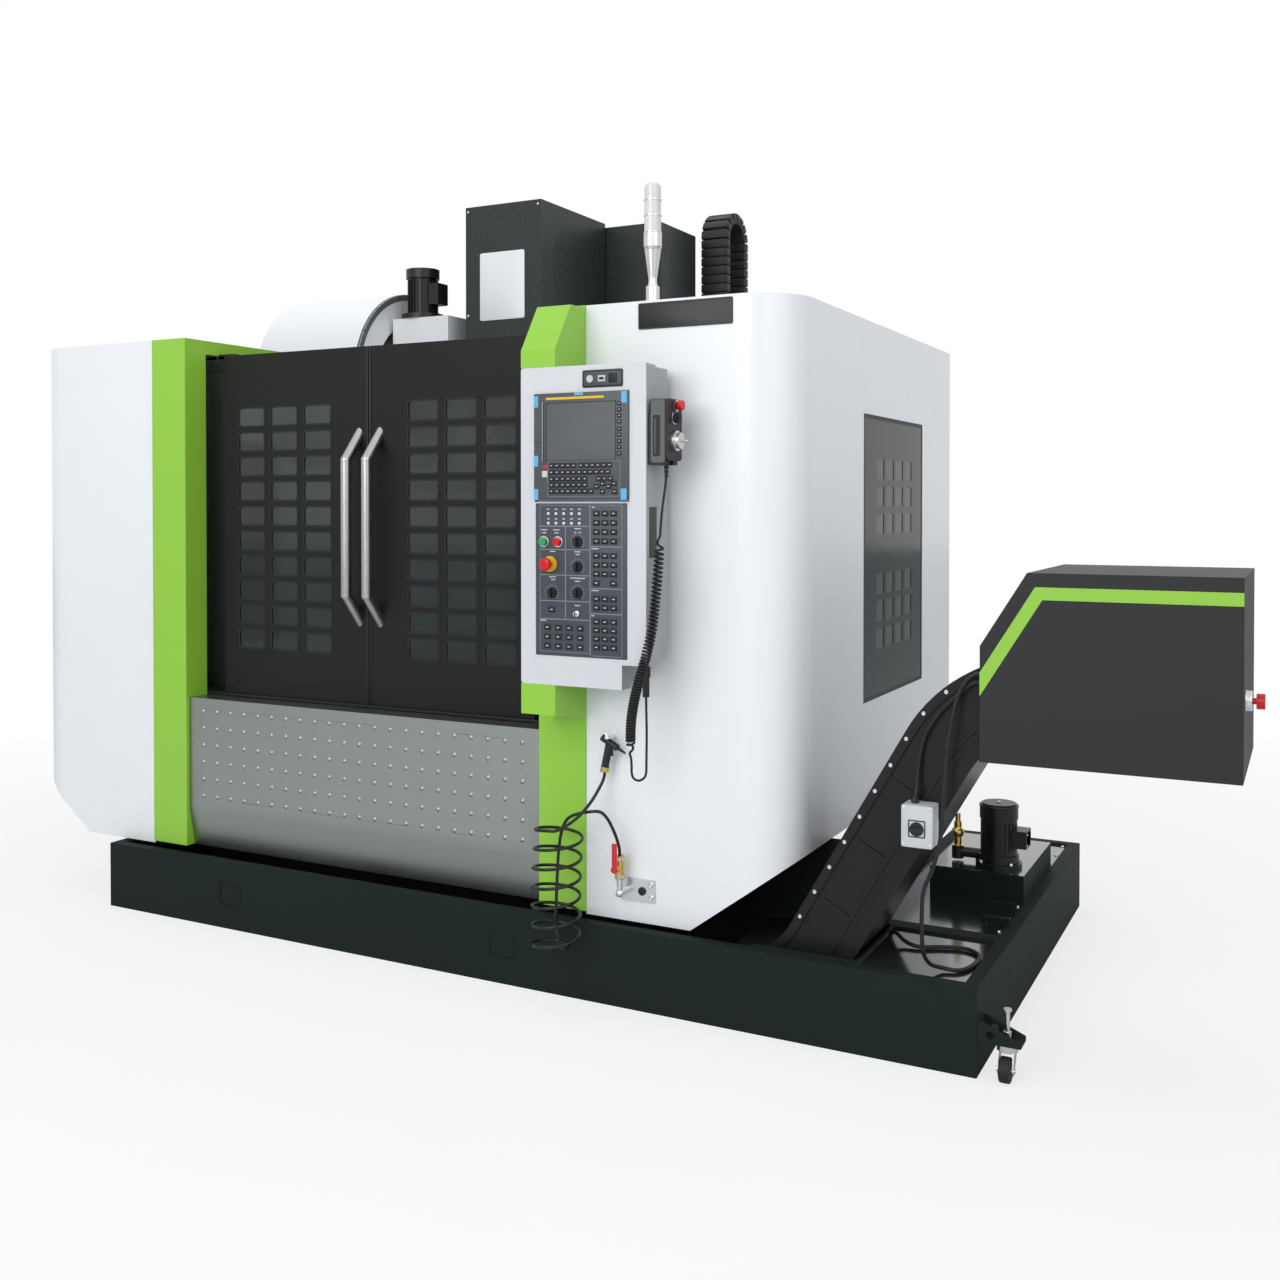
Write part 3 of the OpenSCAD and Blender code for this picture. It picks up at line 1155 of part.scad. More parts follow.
machine_bed();
column();
column_cap();
cable_carrier();
left_enclosure();
right_enclosure();
rear_enclosure();
front_pillars();
front_apron();
door_frame();
side_windows();
chip_pans();
panel_brackets();
signal_tower();
chip_tank();
coolant_tank();
coolant_pump();
conveyor_trough();
conveyor_hood();
switch_box();
switch_cable();
magazine_cover();
cam_box();
air_gun();
air_hose();
valve_body();
left_door();
left_glass();
left_handle();
right_door();
right_glass();
right_handle();
saddle();
table();
headstock();
head_cover();
spindle();
magazine_disc();
tool_arm();
cabinet_door();
control_box();
panel_units();
estop_button();
start_button();
stop_button();
feed_knob();
spindle_knob();
mode_knob();
rapid_knob();
pendant_body();
pendant_wheel();
pendant_knob();
pendant_button();
pendant_cord();
conveyor_button();
switch_knob();
valve_lever();
gun_trigger();
caster_fork();
caster_wheel();
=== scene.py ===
"""Looks of an enclosed vertical machining centre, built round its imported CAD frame.

Lengths are millimetres of the machine frame: x to the operator's right from the middle of the enclosure,
y to the rear from the front panels, z up from the floor. Machine.row turns them into the row frame in metres.
"""

from __future__ import annotations

import json
import logging
import math
from dataclasses import dataclass, field
from enum import Enum
from functools import cached_property
from typing import Callable, Iterable, Sequence, Union

import bmesh
import bpy
from mathutils import Matrix, Vector

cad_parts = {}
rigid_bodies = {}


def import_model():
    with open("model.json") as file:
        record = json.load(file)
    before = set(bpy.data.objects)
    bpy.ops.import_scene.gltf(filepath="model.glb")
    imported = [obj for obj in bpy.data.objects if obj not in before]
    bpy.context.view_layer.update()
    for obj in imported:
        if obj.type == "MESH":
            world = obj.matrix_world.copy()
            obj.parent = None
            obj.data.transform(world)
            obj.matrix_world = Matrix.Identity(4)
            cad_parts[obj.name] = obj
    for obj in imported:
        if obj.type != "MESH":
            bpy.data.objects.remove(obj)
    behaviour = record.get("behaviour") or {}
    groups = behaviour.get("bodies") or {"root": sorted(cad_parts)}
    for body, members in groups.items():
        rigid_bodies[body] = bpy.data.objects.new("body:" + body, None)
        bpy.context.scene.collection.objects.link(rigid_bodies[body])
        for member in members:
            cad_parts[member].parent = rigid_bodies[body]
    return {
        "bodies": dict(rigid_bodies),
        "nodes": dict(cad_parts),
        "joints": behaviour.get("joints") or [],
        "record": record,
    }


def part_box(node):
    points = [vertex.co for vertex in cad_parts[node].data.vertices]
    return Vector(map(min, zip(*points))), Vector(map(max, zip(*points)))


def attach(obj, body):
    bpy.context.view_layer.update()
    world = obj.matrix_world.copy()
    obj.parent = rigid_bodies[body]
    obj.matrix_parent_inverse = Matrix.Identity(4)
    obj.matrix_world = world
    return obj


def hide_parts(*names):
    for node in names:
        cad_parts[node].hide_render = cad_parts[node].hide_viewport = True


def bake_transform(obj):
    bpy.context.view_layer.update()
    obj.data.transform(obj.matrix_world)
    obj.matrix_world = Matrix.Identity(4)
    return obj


LOG = logging.getLogger("machining_centre")
MM = 0.001
TINY = 1e-4
WELD_MM = 0.01
SOFT_ANGLE = math.radians(32)
SHARP_ANGLE = math.radians(38)
Point = Sequence[float]
Color = tuple[float, float, float]
Triple = tuple[float, float, float]
Pair = tuple[float, float]
Test = Callable[[Vector, Vector], bool]


class Axis(Enum):
    """Direction along which a flat outline is thickened."""

    X = "x"
    Y = "y"
    Z = "z"

    def lift(self, a: float, b: float, c: float) -> Vector:
        """Places outline coordinates a and b, and depth c, in space."""
        return Vector({"x": (c, a, b), "y": (a, c, b), "z": (a, b, c)}[self.value])


class Wire:
    """A shader socket on which Python operators add Math nodes."""

    def __init__(self, graph: "Graph", socket: bpy.types.NodeSocket) -> None:
        """Keeps the socket and the graph that it belongs to."""
        self.graph = graph
        self.socket = socket

    def __add__(self, other: "Value") -> "Wire":
        """Sum."""
        return self.graph.math("ADD", self, other)

    def __radd__(self, other: "Value") -> "Wire":
        """Sum, reflected."""
        return self.graph.math("ADD", other, self)

    def __sub__(self, other: "Value") -> "Wire":
        """Difference."""
        return self.graph.math("SUBTRACT", self, other)

    def __mul__(self, other: "Value") -> "Wire":
        """Product."""
        return self.graph.math("MULTIPLY", self, other)


Value = Union[Wire, float, Sequence[float]]


class Graph:
    """Node tree of a material or a world."""

    def __init__(self, owner: Union[bpy.types.Material, bpy.types.World]) -> None:
        """Takes over the owner's tree and empties it."""
        self.owner = owner
        owner.use_nodes = True
        self.tree = owner.node_tree
        self.tree.nodes.clear()

    @cached_property
    def place(self) -> Wire:
        """Position in the object's own frame."""
        return self.node("ShaderNodeTexCoord", out="Object")

    def node(self, kind: str, settings: dict | None = None, values: dict | None = None,
             out: int | str = 0) -> Wire:
        """Adds a node.

        Args:
            kind: Blender's type name of the node.
            settings: properties set before the sockets, with "stops" for a colour ramp.
            values: socket index or name to a number, colour, vector or wire.
            out: output socket to return.

        Returns:
            The chosen output as a wire.
        """
        made = self.tree.nodes.new(kind)
        for key, value in (settings or {}).items():
            if key == "stops":
                for element, (spot, grey) in zip(made.color_ramp.elements, value):
                    element.position = spot
                    element.color = (grey, grey, grey, 1.0)
            else:
                setattr(made, key, value)
        for key, value in (values or {}).items():
            if isinstance(value, Wire):
                self.tree.links.new(value.socket, made.inputs[key])
            else:
                made.inputs[key].default_value = value
        return Wire(self, made.outputs[out])

    def math(self, operation: str, a: Value, b: Value) -> Wire:
        """Adds a Math node on two values."""
        return self.node("ShaderNodeMath", {"operation": operation}, {0: a, 1: b})

    def noise(self, scale: float, detail: float = 2.0, stretch: Point = (1, 1, 1)) -> Wire:
        """Noise from 0 to 1 at a number of features per metre, stretched along the axes."""
        spot = self.node("ShaderNodeVectorMath", {"operation": "MULTIPLY"},
                         {0: self.place, 1: tuple(stretch)})
        return self.node("ShaderNodeTexNoise", None, {"Vector": spot, "Scale": scale, "Detail": detail})

    def cells(self, scale: float) -> Wire:
        """Distance to the nearest cell centre, for dimpled paint."""
        return self.node("ShaderNodeTexVoronoi", None, {"Vector": self.place, "Scale": scale})

    def blend(self, low: Color, high: Color, share: Wire) -> Wire:
        """Colour between two colours."""
        ends = {0: share, 6: (*low, 1.0), 7: (*high, 1.0)}
        return self.node("ShaderNodeMix", {"data_type": "RGBA"}, ends, out=2)

    def bump(self, height: Wire, depth: float) -> Wire:
        """Normal of a surface raised by height times depth in metres."""
        return self.node("ShaderNodeBump", None, {"Strength": 1.0, "Distance": depth, "Height": height})

    def close(self, values: dict) -> bpy.types.Material:
        """Ends a material with a principled shader that takes these socket values."""
        self.end(self.node("ShaderNodeBsdfPrincipled", None, values))
        return self.owner

    def end(self, shader: Wire, kind: str = "ShaderNodeOutputMaterial") -> None:
        """Links a shader to the output."""
        self.tree.links.new(shader.socket, self.tree.nodes.new(kind).inputs["Surface"])


def shaded(color: Color, factor: float) -> Color:
    """Colour scaled in brightness, kept at or below white."""
    return tuple(min(1.0, c * factor) for c in color)


@dataclass(frozen=True)
class Paint:
    """Sprayed enamel or powder coat: slight clouding, orange peel and a clear gloss."""

    name: str
    color: Color
    roughness: float = 0.32
    coat: float = 0.25
    peel: float = 0.00006
    grain: float = 420.0
    cloud: float = 0.03
    shine: float = 0.5
    slot: str = ""

    def build(self) -> bpy.types.Material:
        """Makes the material."""
        g = Graph(bpy.data.materials.new(self.name))
        mist = g.noise(1.7, 4.0)
        fine = g.noise(self.grain)
        return g.close({
            "Base Color": g.blend(shaded(self.color, 1 - self.cloud), shaded(self.color, 1 + self.cloud),
                                  mist),
            "Roughness": self.roughness + (mist - 0.5) * 0.12 + (fine - 0.5) * 0.08,
            "Coat Weight": self.coat, "Coat Roughness": 0.12, "Specular IOR Level": self.shine,
            "Normal": g.bump(fine, self.peel)})


@dataclass(frozen=True)
class Hammered:
    """Dark enamel with the dimples of hammer finish."""

    name: str
    color: Color
    pale: Color
    slot: str = ""

    def build(self) -> bpy.types.Material:
        """Makes the material."""
        g = Graph(bpy.data.materials.new(self.name))
        dimple = g.cells(170.0)
        speck = g.noise(260.0, 3.0)
        share = g.node("ShaderNodeValToRGB", {"stops": ((0.42, 0.0), (0.7, 1.0))}, {"Fac": speck})
        return g.close({
            "Base Color": g.blend(self.color, self.pale, share),
            "Roughness": 0.42 + (speck - 0.5) * 0.3,
            "Coat Weight": 0.05, "Specular IOR Level": 0.3,
            "Normal": g.bump(dimple, 0.0006)})


@dataclass(frozen=True)
class Metal:
    """Bare metal with brush or grinding lines along one direction."""

    name: str
    color: Color
    roughness: float = 0.34
    lines: Triple = (1.5, 160.0, 160.0)
    depth: float = 0.00003
    slot: str = ""

    def build(self) -> bpy.types.Material:
        """Makes the material."""
        g = Graph(bpy.data.materials.new(self.name))
        brush = g.noise(8.0, 4.0, self.lines)
        smear = g.noise(3.0, 3.0)
        return g.close({
            "Base Color": g.blend(shaded(self.color, 0.86), shaded(self.color, 1.1), brush),
            "Metallic": 1.0,
            "Roughness": self.roughness + (brush - 0.5) * 0.22 + (smear - 0.5) * 0.12,
            "Normal": g.bump(brush, self.depth)})


@dataclass(frozen=True)
class Moulded:
    """Plastic or rubber with a fine texture."""

    name: str
    color: Color
    roughness: float = 0.5
    grain: float = 900.0
    depth: float = 0.00008
    shine: float = 0.3
    slot: str = ""

    def build(self) -> bpy.types.Material:
        """Makes the material."""
        g = Graph(bpy.data.materials.new(self.name))
        fine = g.noise(self.grain, 3.0)
        wide = g.noise(14.0, 3.0)
        return g.close({
            "Base Color": g.blend(shaded(self.color, 0.88), shaded(self.color, 1.12), wide),
            "Roughness": self.roughness + (fine - 0.5) * 0.16, "Specular IOR Level": self.shine,
            "Normal": g.bump(fine, self.depth)})


@dataclass(frozen=True)
class Pane:
    """Tinted safety glazing with a faint film of coolant mist."""

    name: str
    color: Color
    clear: float = 0.5
    shine: float = 0.28
    slot: str = ""

    def build(self) -> bpy.types.Material:
        """Makes the material."""
        g = Graph(bpy.data.materials.new(self.name))
        film = g.noise(5.0, 5.0)
        return g.close({
            "Base Color": g.blend(self.color, shaded(self.color, 1.5), film),
            "Roughness": 0.05 + film * 0.1,
            "Transmission Weight": self.clear, "IOR": 1.5, "Specular IOR Level": self.shine})


@dataclass(frozen=True)
class Lit:
    """Screen or lens that gives off a little light of its own."""

    name: str
    color: Color
    glow: float = 0.2
    shine: float = 0.5
    coat: float = 0.4
    slot: str = ""

    def build(self) -> bpy.types.Material:
        """Makes the material."""
        g = Graph(bpy.data.materials.new(self.name))
        film = g.noise(9.0, 3.0)
        tone = g.blend(shaded(self.color, 0.9), shaded(self.color, 1.1), film)
        return g.close({
            "Base Color": tone, "Roughness": 0.16 + film * 0.1, "Coat Weight": self.coat,
            "Specular IOR Level": self.shine, "Emission Color": tone, "Emission Strength": self.glow})


Finish = Union[Paint, Hammered, Metal, Moulded, Pane, Lit]


class Look:
    """Every finish on the machine."""

    WHITE = Paint("white_enamel", (0.8, 0.82, 0.84), 0.3, 0.2, slot="white_paint")
    PANEL_WHITE = Paint("panel_white_enamel", (0.62, 0.63, 0.655), 0.36, 0.1, slot="panel_white")
    # Darker copy of the panel white: painted shade for the operator box's side and rear faces.
    PANEL_PAINTED_SHADE = Paint("panel_white_painted_shade", (0.36, 0.37, 0.375), 0.4, 0.05, slot="panel_white")
    GREEN = Paint("green_enamel", (0.27, 0.55, 0.045), 0.38, 0.1, shine=0.4, slot="green_paint")
    GREEN_FILM = Paint("green_film", (0.27, 0.55, 0.05), 0.42, 0.05, shine=0.4, slot="green_paint")
    CHARCOAL = Paint("charcoal_powder", (0.009, 0.0098, 0.0088), 0.44, 0.0, 0.00012, 620.0, shine=0.2,
                     slot="charcoal_paint")
    BLACK = Paint("black_enamel", (0.01, 0.011, 0.011), 0.36, 0.05, shine=0.3, slot="black_paint")
    TANK = Paint("tank_enamel", (0.0165, 0.0235, 0.0215), 0.52, 0.0, 0.0001, 300.0, 0.1, 0.03,
                 slot="tank_paint")
    TANK_TOP = Paint("tank_cover_enamel", (0.012, 0.017, 0.0155), 0.13, 0.7, 0.00004, 60.0, 0.1, 0.5,
                     slot="tank_paint")
    HOOD = Paint("hood_powder", (0.0185, 0.0185, 0.021), 0.55, 0.0, 0.00025, 700.0, 0.06, 0.3,
                 slot="conveyor_paint")
    TROUGH = Paint("conveyor_enamel", (0.01, 0.0105, 0.0105), 0.36, 0.06, 0.00015, 240.0, 0.12, 0.2,
                   slot="conveyor_paint")
    GREY = Paint("machine_grey_enamel", (0.5, 0.52, 0.53), 0.38, 0.1, slot="machine_grey")
    HAMMER = Hammered("hammer_enamel", (0.009, 0.013, 0.013), (0.046, 0.06, 0.056), slot="hammer_grey")
    CAST = Paint("casting_enamel", (0.2, 0.21, 0.22), 0.5, 0.05, 0.0008, 120.0, 0.1, slot="cast_iron")
    STAINLESS = Metal("brushed_stainless", (0.32, 0.34, 0.32), 0.36, slot="stainless")
    SATIN = Metal("satin_steel", (0.62, 0.62, 0.61), 0.3, (90.0, 90.0, 2.0), slot="satin_steel")
    GROUND = Metal("ground_steel", (0.5, 0.51, 0.52), 0.28, (120.0, 2.0, 120.0), slot="ground_steel")
    BOLT = Metal("bright_zinc", (0.66, 0.67, 0.68), 0.25, (40.0, 40.0, 40.0), slot="satin_steel")
    BRASS = Metal("turned_brass", (0.62, 0.43, 0.13), 0.26, (60.0, 60.0, 60.0), slot="brass")
    PLASTIC = Moulded("black_moulding", (0.018, 0.018, 0.019), 0.45, slot="black_plastic")
    CHAIN = Moulded("link_moulding", (0.016, 0.015, 0.015), 0.55, slot="chain_plastic")
    PIN = Moulded("pin_moulding", (0.2, 0.12, 0.05), 0.5, slot="chain_plastic")
    GREY_PLASTIC = Moulded("grey_moulding", (0.55, 0.57, 0.58), 0.42, slot="grey_plastic")
    RUBBER = Moulded("jacket_rubber", (0.012, 0.012, 0.013), 0.5, slot="cable_rubber")
    HOSE = Moulded("hose_plastic", (0.01, 0.012, 0.012), 0.2, 200.0, 0.00002, slot="hose_plastic")
    TYRE = Moulded("wheel_rubber", (0.015, 0.015, 0.016), 0.6, slot="wheel_rubber")
    RED = Moulded("red_gloss", (0.62, 0.012, 0.012), 0.22, slot="red_plastic")
    RED_DIP = Moulded("red_dip", (0.55, 0.02, 0.03), 0.35, slot="red_paint")
    GREEN_KEY = Moulded("green_gloss", (0.02, 0.36, 0.12), 0.25, slot="green_plastic")
    LINE = Moulded("line_print", (0.24, 0.255, 0.275), 0.5, slot="panel_black")
    HOLDER = Moulded("holder_moulding", (0.11, 0.115, 0.12), 0.5, slot="black_plastic")
    FILM = Moulded("blue_film", (0.13, 0.42, 0.68), 0.35, slot="panel_black")
    SHADOW = Moulded("slot_shadow", (0.07, 0.072, 0.06), 0.6, slot="panel_black")
    YELLOW = Moulded("yellow_moulding", (0.75, 0.46, 0.02), 0.4, slot="panel_black")
    SLATE = Moulded("slate_overlay", (0.058, 0.066, 0.082), 0.42, 1500.0, 0.00004, slot="panel_black")
    KEY = Moulded("key_moulding", (0.011, 0.012, 0.014), 0.45, 1500.0, 0.00004, slot="panel_black")
    LEGEND = Moulded("legend_print", (0.5, 0.52, 0.55), 0.5, slot="panel_black")
    BEZEL = Moulded("screen_bezel", (0.075, 0.082, 0.092), 0.4, 1500.0, 0.00004, slot="panel_black")
    SCREEN = Lit("screen_glass", (0.1, 0.108, 0.11), 0.16, 0.06, 0.0, slot="panel_black")
    LENS = Lit("lamp_lens", (0.62, 0.62, 0.6), 0.05, slot="grey_plastic")
    PANE = Pane("door_glazing", (0.08, 0.1, 0.097), 0.9, slot="dark_glass")
    SIDE_PANE = Pane("side_glazing", (0.012, 0.018, 0.016), 0.2, 0.09, slot="dark_glass")
    SIDE_CELL = Pane("side_cell", (0.05, 0.065, 0.06), 0.1, 0.12, slot="dark_glass")
    BAR = Metal("bar_steel", (0.45, 0.45, 0.44), 0.26, (90.0, 90.0, 2.0), slot="satin_steel")
    _made: dict[str, bpy.types.Material] = {}

    @classmethod
    def material(cls, finish: Finish) -> bpy.types.Material:
        """Material of a finish, made once."""
        if finish.name not in cls._made:
            cls._made[finish.name] = finish.build()
        return cls._made[finish.name]


class Form:
    """A mesh under construction, in machine millimetres, with one or more finishes."""

    def __init__(self, *finishes: Finish) -> None:
        """Starts an empty form whose parts take the first finish until told otherwise."""
        self.finishes = list(finishes)
        self.verts: list[Vector] = []
        self.faces: list[tuple[int, ...]] = []
        self.tints: list[int] = []
        self.tint = 0

    def use(self, finish: Finish) -> "Form":
        """Chooses the finish of the parts that follow."""
        if finish not in self.finishes:
            self.finishes.append(finish)
        self.tint = self.finishes.index(finish)
        return self

    def add(self, verts: Iterable[Point], faces: Iterable[Sequence[int]]) -> "Form":
        """Adds vertices and the faces that join them."""
        start = len(self.verts)
        self.verts += [Vector(v) for v in verts]
        for face in faces:
            self.faces.append(tuple(start + i for i in face))
            self.tints.append(self.tint)
        return self

    def _take(self, bm: bmesh.types.BMesh) -> "Form":
        """Adds a finished bmesh and frees it."""
        bm.verts.index_update()
        self.add([v.co.copy() for v in bm.verts], [[v.index for v in f.verts] for f in bm.faces])
        bm.free()
        return self

    def stamp(self, other: "Form", spots: Iterable[Point], turn: Matrix | None = None) -> "Form":
        """Adds copies of another form at each of the spots, turned alike."""
        for spot in spots:
            for tint, finish in enumerate(other.finishes):
                chosen = [f for f, t in zip(other.faces, other.tints) if t == tint]
                used = sorted({i for f in chosen for i in f})
                number = {old: new for new, old in enumerate(used)}
                moved = [(turn @ other.verts[i] if turn else other.verts[i]) + Vector(spot) for i in used]
                self.use(finish).add(moved, [[number[i] for i in f] for f in chosen])
        return self

    def box(self, lo: Point, hi: Point, round_off: float = 1.0, steps: int = 2) -> "Form":
        """Adds a box with rounded edges."""
        bm = bmesh.new()
        bmesh.ops.create_cube(bm, size=1.0)
        low, high = Vector(lo), Vector(hi)
        bmesh.ops.scale(bm, vec=high - low, verts=bm.verts)
        bmesh.ops.translate(bm, vec=(low + high) / 2, verts=bm.verts)
        if round_off:
            edge = min(round_off, 0.45 * min(high - low))
            bmesh.ops.bevel(bm, geom=list(bm.edges), offset=edge, segments=steps, affect="EDGES", profile=0.5)
        return self._take(bm)

    def plate(self, outline: Sequence[Point], axis: Axis, near: float, far: float,
              round_off: float = 0.6) -> "Form":
        """Adds a flat plate of any outline, with rounded rims."""
        bm = bmesh.new()
        base = bm.faces.new([bm.verts.new(axis.lift(a, b, near)) for a, b in outline])
        grown = bmesh.ops.extrude_face_region(bm, geom=[base])
        lifted = [v for v in grown["geom"] if isinstance(v, bmesh.types.BMVert)]
        bmesh.ops.translate(bm, vec=axis.lift(0, 0, far - near), verts=lifted)
        bmesh.ops.recalc_face_normals(bm, faces=bm.faces)
        if round_off:
            up = axis.lift(0, 0, 1)
            rims = [e for e in bm.edges if abs(up.dot(e.verts[0].co - e.verts[1].co)) < TINY]
            bmesh.ops.bevel(bm, geom=rims, offset=round_off, segments=2, affect="EDGES", profile=0.5)
        return self._take(bm)

    def collar(self, outer: Sequence[Point], inner: Sequence[Point], axis: Axis, near: float,
               far: float) -> "Form":
        """Adds a flat ring between two outlines with the same number of points."""
        n = len(outer)
        verts = [axis.lift(a, b, c) for c in (near, far) for line in (outer, inner) for a, b in line]
        faces = []
        for i in range(n):
            j = (i + 1) % n
            faces += [(i, n + i, n + j, j), (2 * n + i, 2 * n + j, 3 * n + j, 3 * n + i),
                      (i, j, 2 * n + j, 2 * n + i), (n + i, 3 * n + i, 3 * n + j, n + j)]
        return self.add(verts, faces)

    def lathe(self, base: Point, axis: Point, profile: Sequence[Point], sides: int = 28) -> "Form":
        """Adds a turned shape.

        Args:
            base: foot of the turning axis.
            axis: direction of the turning axis.
            profile: radius and height pairs from the foot up, ends at radius 0 are closed.
            sides: number of sides round the axis.

        Returns:
            This form.
        """
        up = Vector(axis).normalized()
        side = up.orthogonal().normalized()
        other = up.cross(side)
        foot = Vector(base)
        verts: list[Vector] = []
        rings: list[list[int]] = []
        for radius, height in profile:
            start = len(verts)
            if radius < TINY:
                verts.append(foot + up * height)
                rings.append([start] * sides)
                continue
            for k in range(sides):
                turn = 2 * math.pi * k / sides
                verts.append(foot + up * height + radius * (math.cos(turn) * side + math.sin(turn) * other))
            rings.append(list(range(start, start + sides)))
        faces = []
        for low, high in zip(rings, rings[1:]):
            for k in range(sides):
                n = (k + 1) % sides
                corners = list(dict.fromkeys((low[k], low[n], high[n], high[k])))
                if len(corners) > 2:
                    faces.append(corners)
        return self.add(verts, faces)

    def rod(self, start: Point, end: Point, radius: float, round_off: float = 0.8, sides: int = 20) -> "Form":
        """Adds a solid rod with rounded ends."""
        span = Vector(end) - Vector(start)
        length = span.length
        edge = min(round_off, 0.4 * length, 0.6 * radius)
        foot = [(0, 0), (radius - edge, 0), (radius - 0.3 * edge, 0.3 * edge), (radius, edge)]
        profile = [*foot, *((r, length - h) for r, h in reversed(foot))]
        return self.lathe(start, span, profile, sides)


def rounded(lo: Point, hi: Point, radius: float, steps: int = 5) -> list[Pair]:
    """Outline of a rectangle with rounded corners, anticlockwise."""
    points = []
    centres = ((hi[0] - radius, hi[1] - radius, 0), (lo[0] + radius, hi[1] - radius, 90),
               (lo[0] + radius, lo[1] + radius, 180), (hi[0] - radius, lo[1] + radius, 270))
    for x, y, start in centres:
        for k in range(steps + 1):
            turn = math.radians(start + 90 * k / steps)
            points.append((x + radius * math.cos(turn), y + radius * math.sin(turn)))
    return points


def smooth_route(points: Sequence[Point], steps: int = 8) -> list[Vector]:
    """Points of a curve through a route's points."""
    p = [Vector(q) for q in points]
    p = [2 * p[0] - p[1], *p, 2 * p[-1] - p[-2]]
    curve = []
    for a, b, c, d in zip(p, p[1:], p[2:], p[3:]):
        for k in range(steps):
            t = k / steps
            curve.append(0.5 * (2 * b + (c - a) * t + (2 * a - 5 * b + 4 * c - d) * t * t
                                + (3 * b - a - 3 * c + d) * t ** 3))
    return [*curve, p[-2]]


@dataclass
class Machine:
    """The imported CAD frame, and where the machine frame lies in it."""

    frame: dict
    enclosure_half: float = 1635.0
    pillar_proud: float = 6.0
    shift: Vector = field(init=False)
    count: int = field(default=0, init=False)

    def __post_init__(self) -> None:
        """Finds the machine frame's origin from the left wall and the front pillars."""
        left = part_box("left_enclosure")[0].x
        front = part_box("front_pillars")[0].y
        self.shift = Vector((left + self.enclosure_half * MM, front + self.pillar_proud * MM, 0))

    def row(self, point: Point) -> Vector:
        """Point of the machine frame in the row frame."""
        return Vector(point) * MM + self.shift

    def back(self, point: Vector) -> Vector:
        """Point of the row frame in the machine frame."""
        return (point - self.shift) / MM

    def box(self, node: str) -> tuple[Vector, Vector]:
        """Corners of a CAD node in the machine frame."""
        low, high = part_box(node)
        return self.back(low), self.back(high)

    def dress(self, node: str, finish: Finish, round_off: float = 1.2,
              fields: Sequence[tuple[Test, Finish]] = ()) -> None:
        """Gives a CAD node its finish and soft edges.

        Args:
            node: name of the CAD node.
            finish: finish of the whole node.
            round_off: radius of the soft edges.
            fields: tests on a face's middle and normal, each with the finish of the faces that pass.
        """
        obj = self.frame["nodes"][node]
        obj.data.materials.clear()
        for used in (finish, *(f for _, f in fields)):
            obj.data.materials.append(Look.material(used))
        for poly in obj.data.polygons:
            poly.material_index = 0
            for number, (test, _) in enumerate(fields, 1):
                if test(self.back(poly.center), poly.normal):
                    poly.material_index = number
        joined = obj.modifiers.new("joined_faces", "WELD")
        joined.merge_threshold = WELD_MM * MM
        soft = obj.modifiers.new("soft_edges", "BEVEL")
        soft.width = round_off * MM
        soft.segments = 2
        soft.limit_method = "ANGLE"
        soft.angle_limit = SOFT_ANGLE
        even = obj.modifiers.new("even_shading", "WEIGHTED_NORMAL")
        even.weight = 100
        self.count += 1
        LOG.info("dressed %s", node)

    def dress_all(self, *rows: tuple[str, Finish, float]) -> None:
        """Dresses nodes that have one finish, each row with the radius of its soft edges."""
        for node, finish, round_off in rows:
            self.dress(node, finish, round_off)

    def place(self, name: str, form: Form, body: str, replaces: Sequence[str] = ()) -> bpy.types.Object:
        """Turns a form into an object that rides on a body.

        Args:
            name: name of the piece.
            form: the finished form.
            body: CAD body on which the piece rides.
            replaces: CAD nodes for which it stands.

        Returns:
            The new object.
        """
        mesh = bpy.data.meshes.new(name)
        mesh.from_pydata([self.row(v) for v in form.verts], [], form.faces)
        for finish in form.finishes:
            mesh.materials.append(Look.material(finish))
        mesh.polygons.foreach_set("material_index", form.tints)
        bm = bmesh.new()
        bm.from_mesh(mesh)
        bmesh.ops.recalc_face_normals(bm, faces=bm.faces)
        bm.to_mesh(mesh)
        bm.free()
        mesh.polygons.foreach_set("use_smooth", [True] * len(mesh.polygons))
        mesh.set_sharp_from_angle(angle=SHARP_ANGLE)
        obj = bpy.data.objects.new(name, mesh)
        bpy.context.scene.collection.objects.link(obj)
        self.seat(obj, body, replaces)
        return obj

    def seat(self, obj: bpy.types.Object, body: str, replaces: Sequence[str] = ()) -> None:
        """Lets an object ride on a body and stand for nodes."""
        if body:
            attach(obj, body)
        if replaces:
            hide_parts(*replaces)
        self.count += 1
        LOG.info("built %s on %s", obj.name, body or "two bodies")

    def cord(self, name: str, line: Sequence[Point], radius: float, finish: Finish, body: str, node: str,
             stiffness: str, lay: str) -> None:
        """Args:
            name: name of the piece.
            line: points of the centreline.
            radius: radius of the cord.
            finish: finish of its jacket.
            body: CAD body on which it rides.
            node: CAD node for which it stands.
            stiffness: word for how it bends; not used.
            lay: word for how it lies; not used.
        """
        data = bpy.data.curves.new(name, "CURVE")
        data.dimensions = "3D"
        data.bevel_depth = radius * MM
        data.bevel_resolution = 3
        data.use_fill_caps = True
        spline = data.splines.new("POLY")
        points = [self.row(p) for p in line]
        spline.points.add(len(points) - 1)
        for target, point in zip(spline.points, points):
            target.co = (*point, 1.0)
        spline.use_smooth = True
        data.materials.append(Look.material(finish))
        obj = bpy.data.objects.new(name, data)
        bpy.context.scene.collection.objects.link(obj)
        self.seat(obj, body, [node])


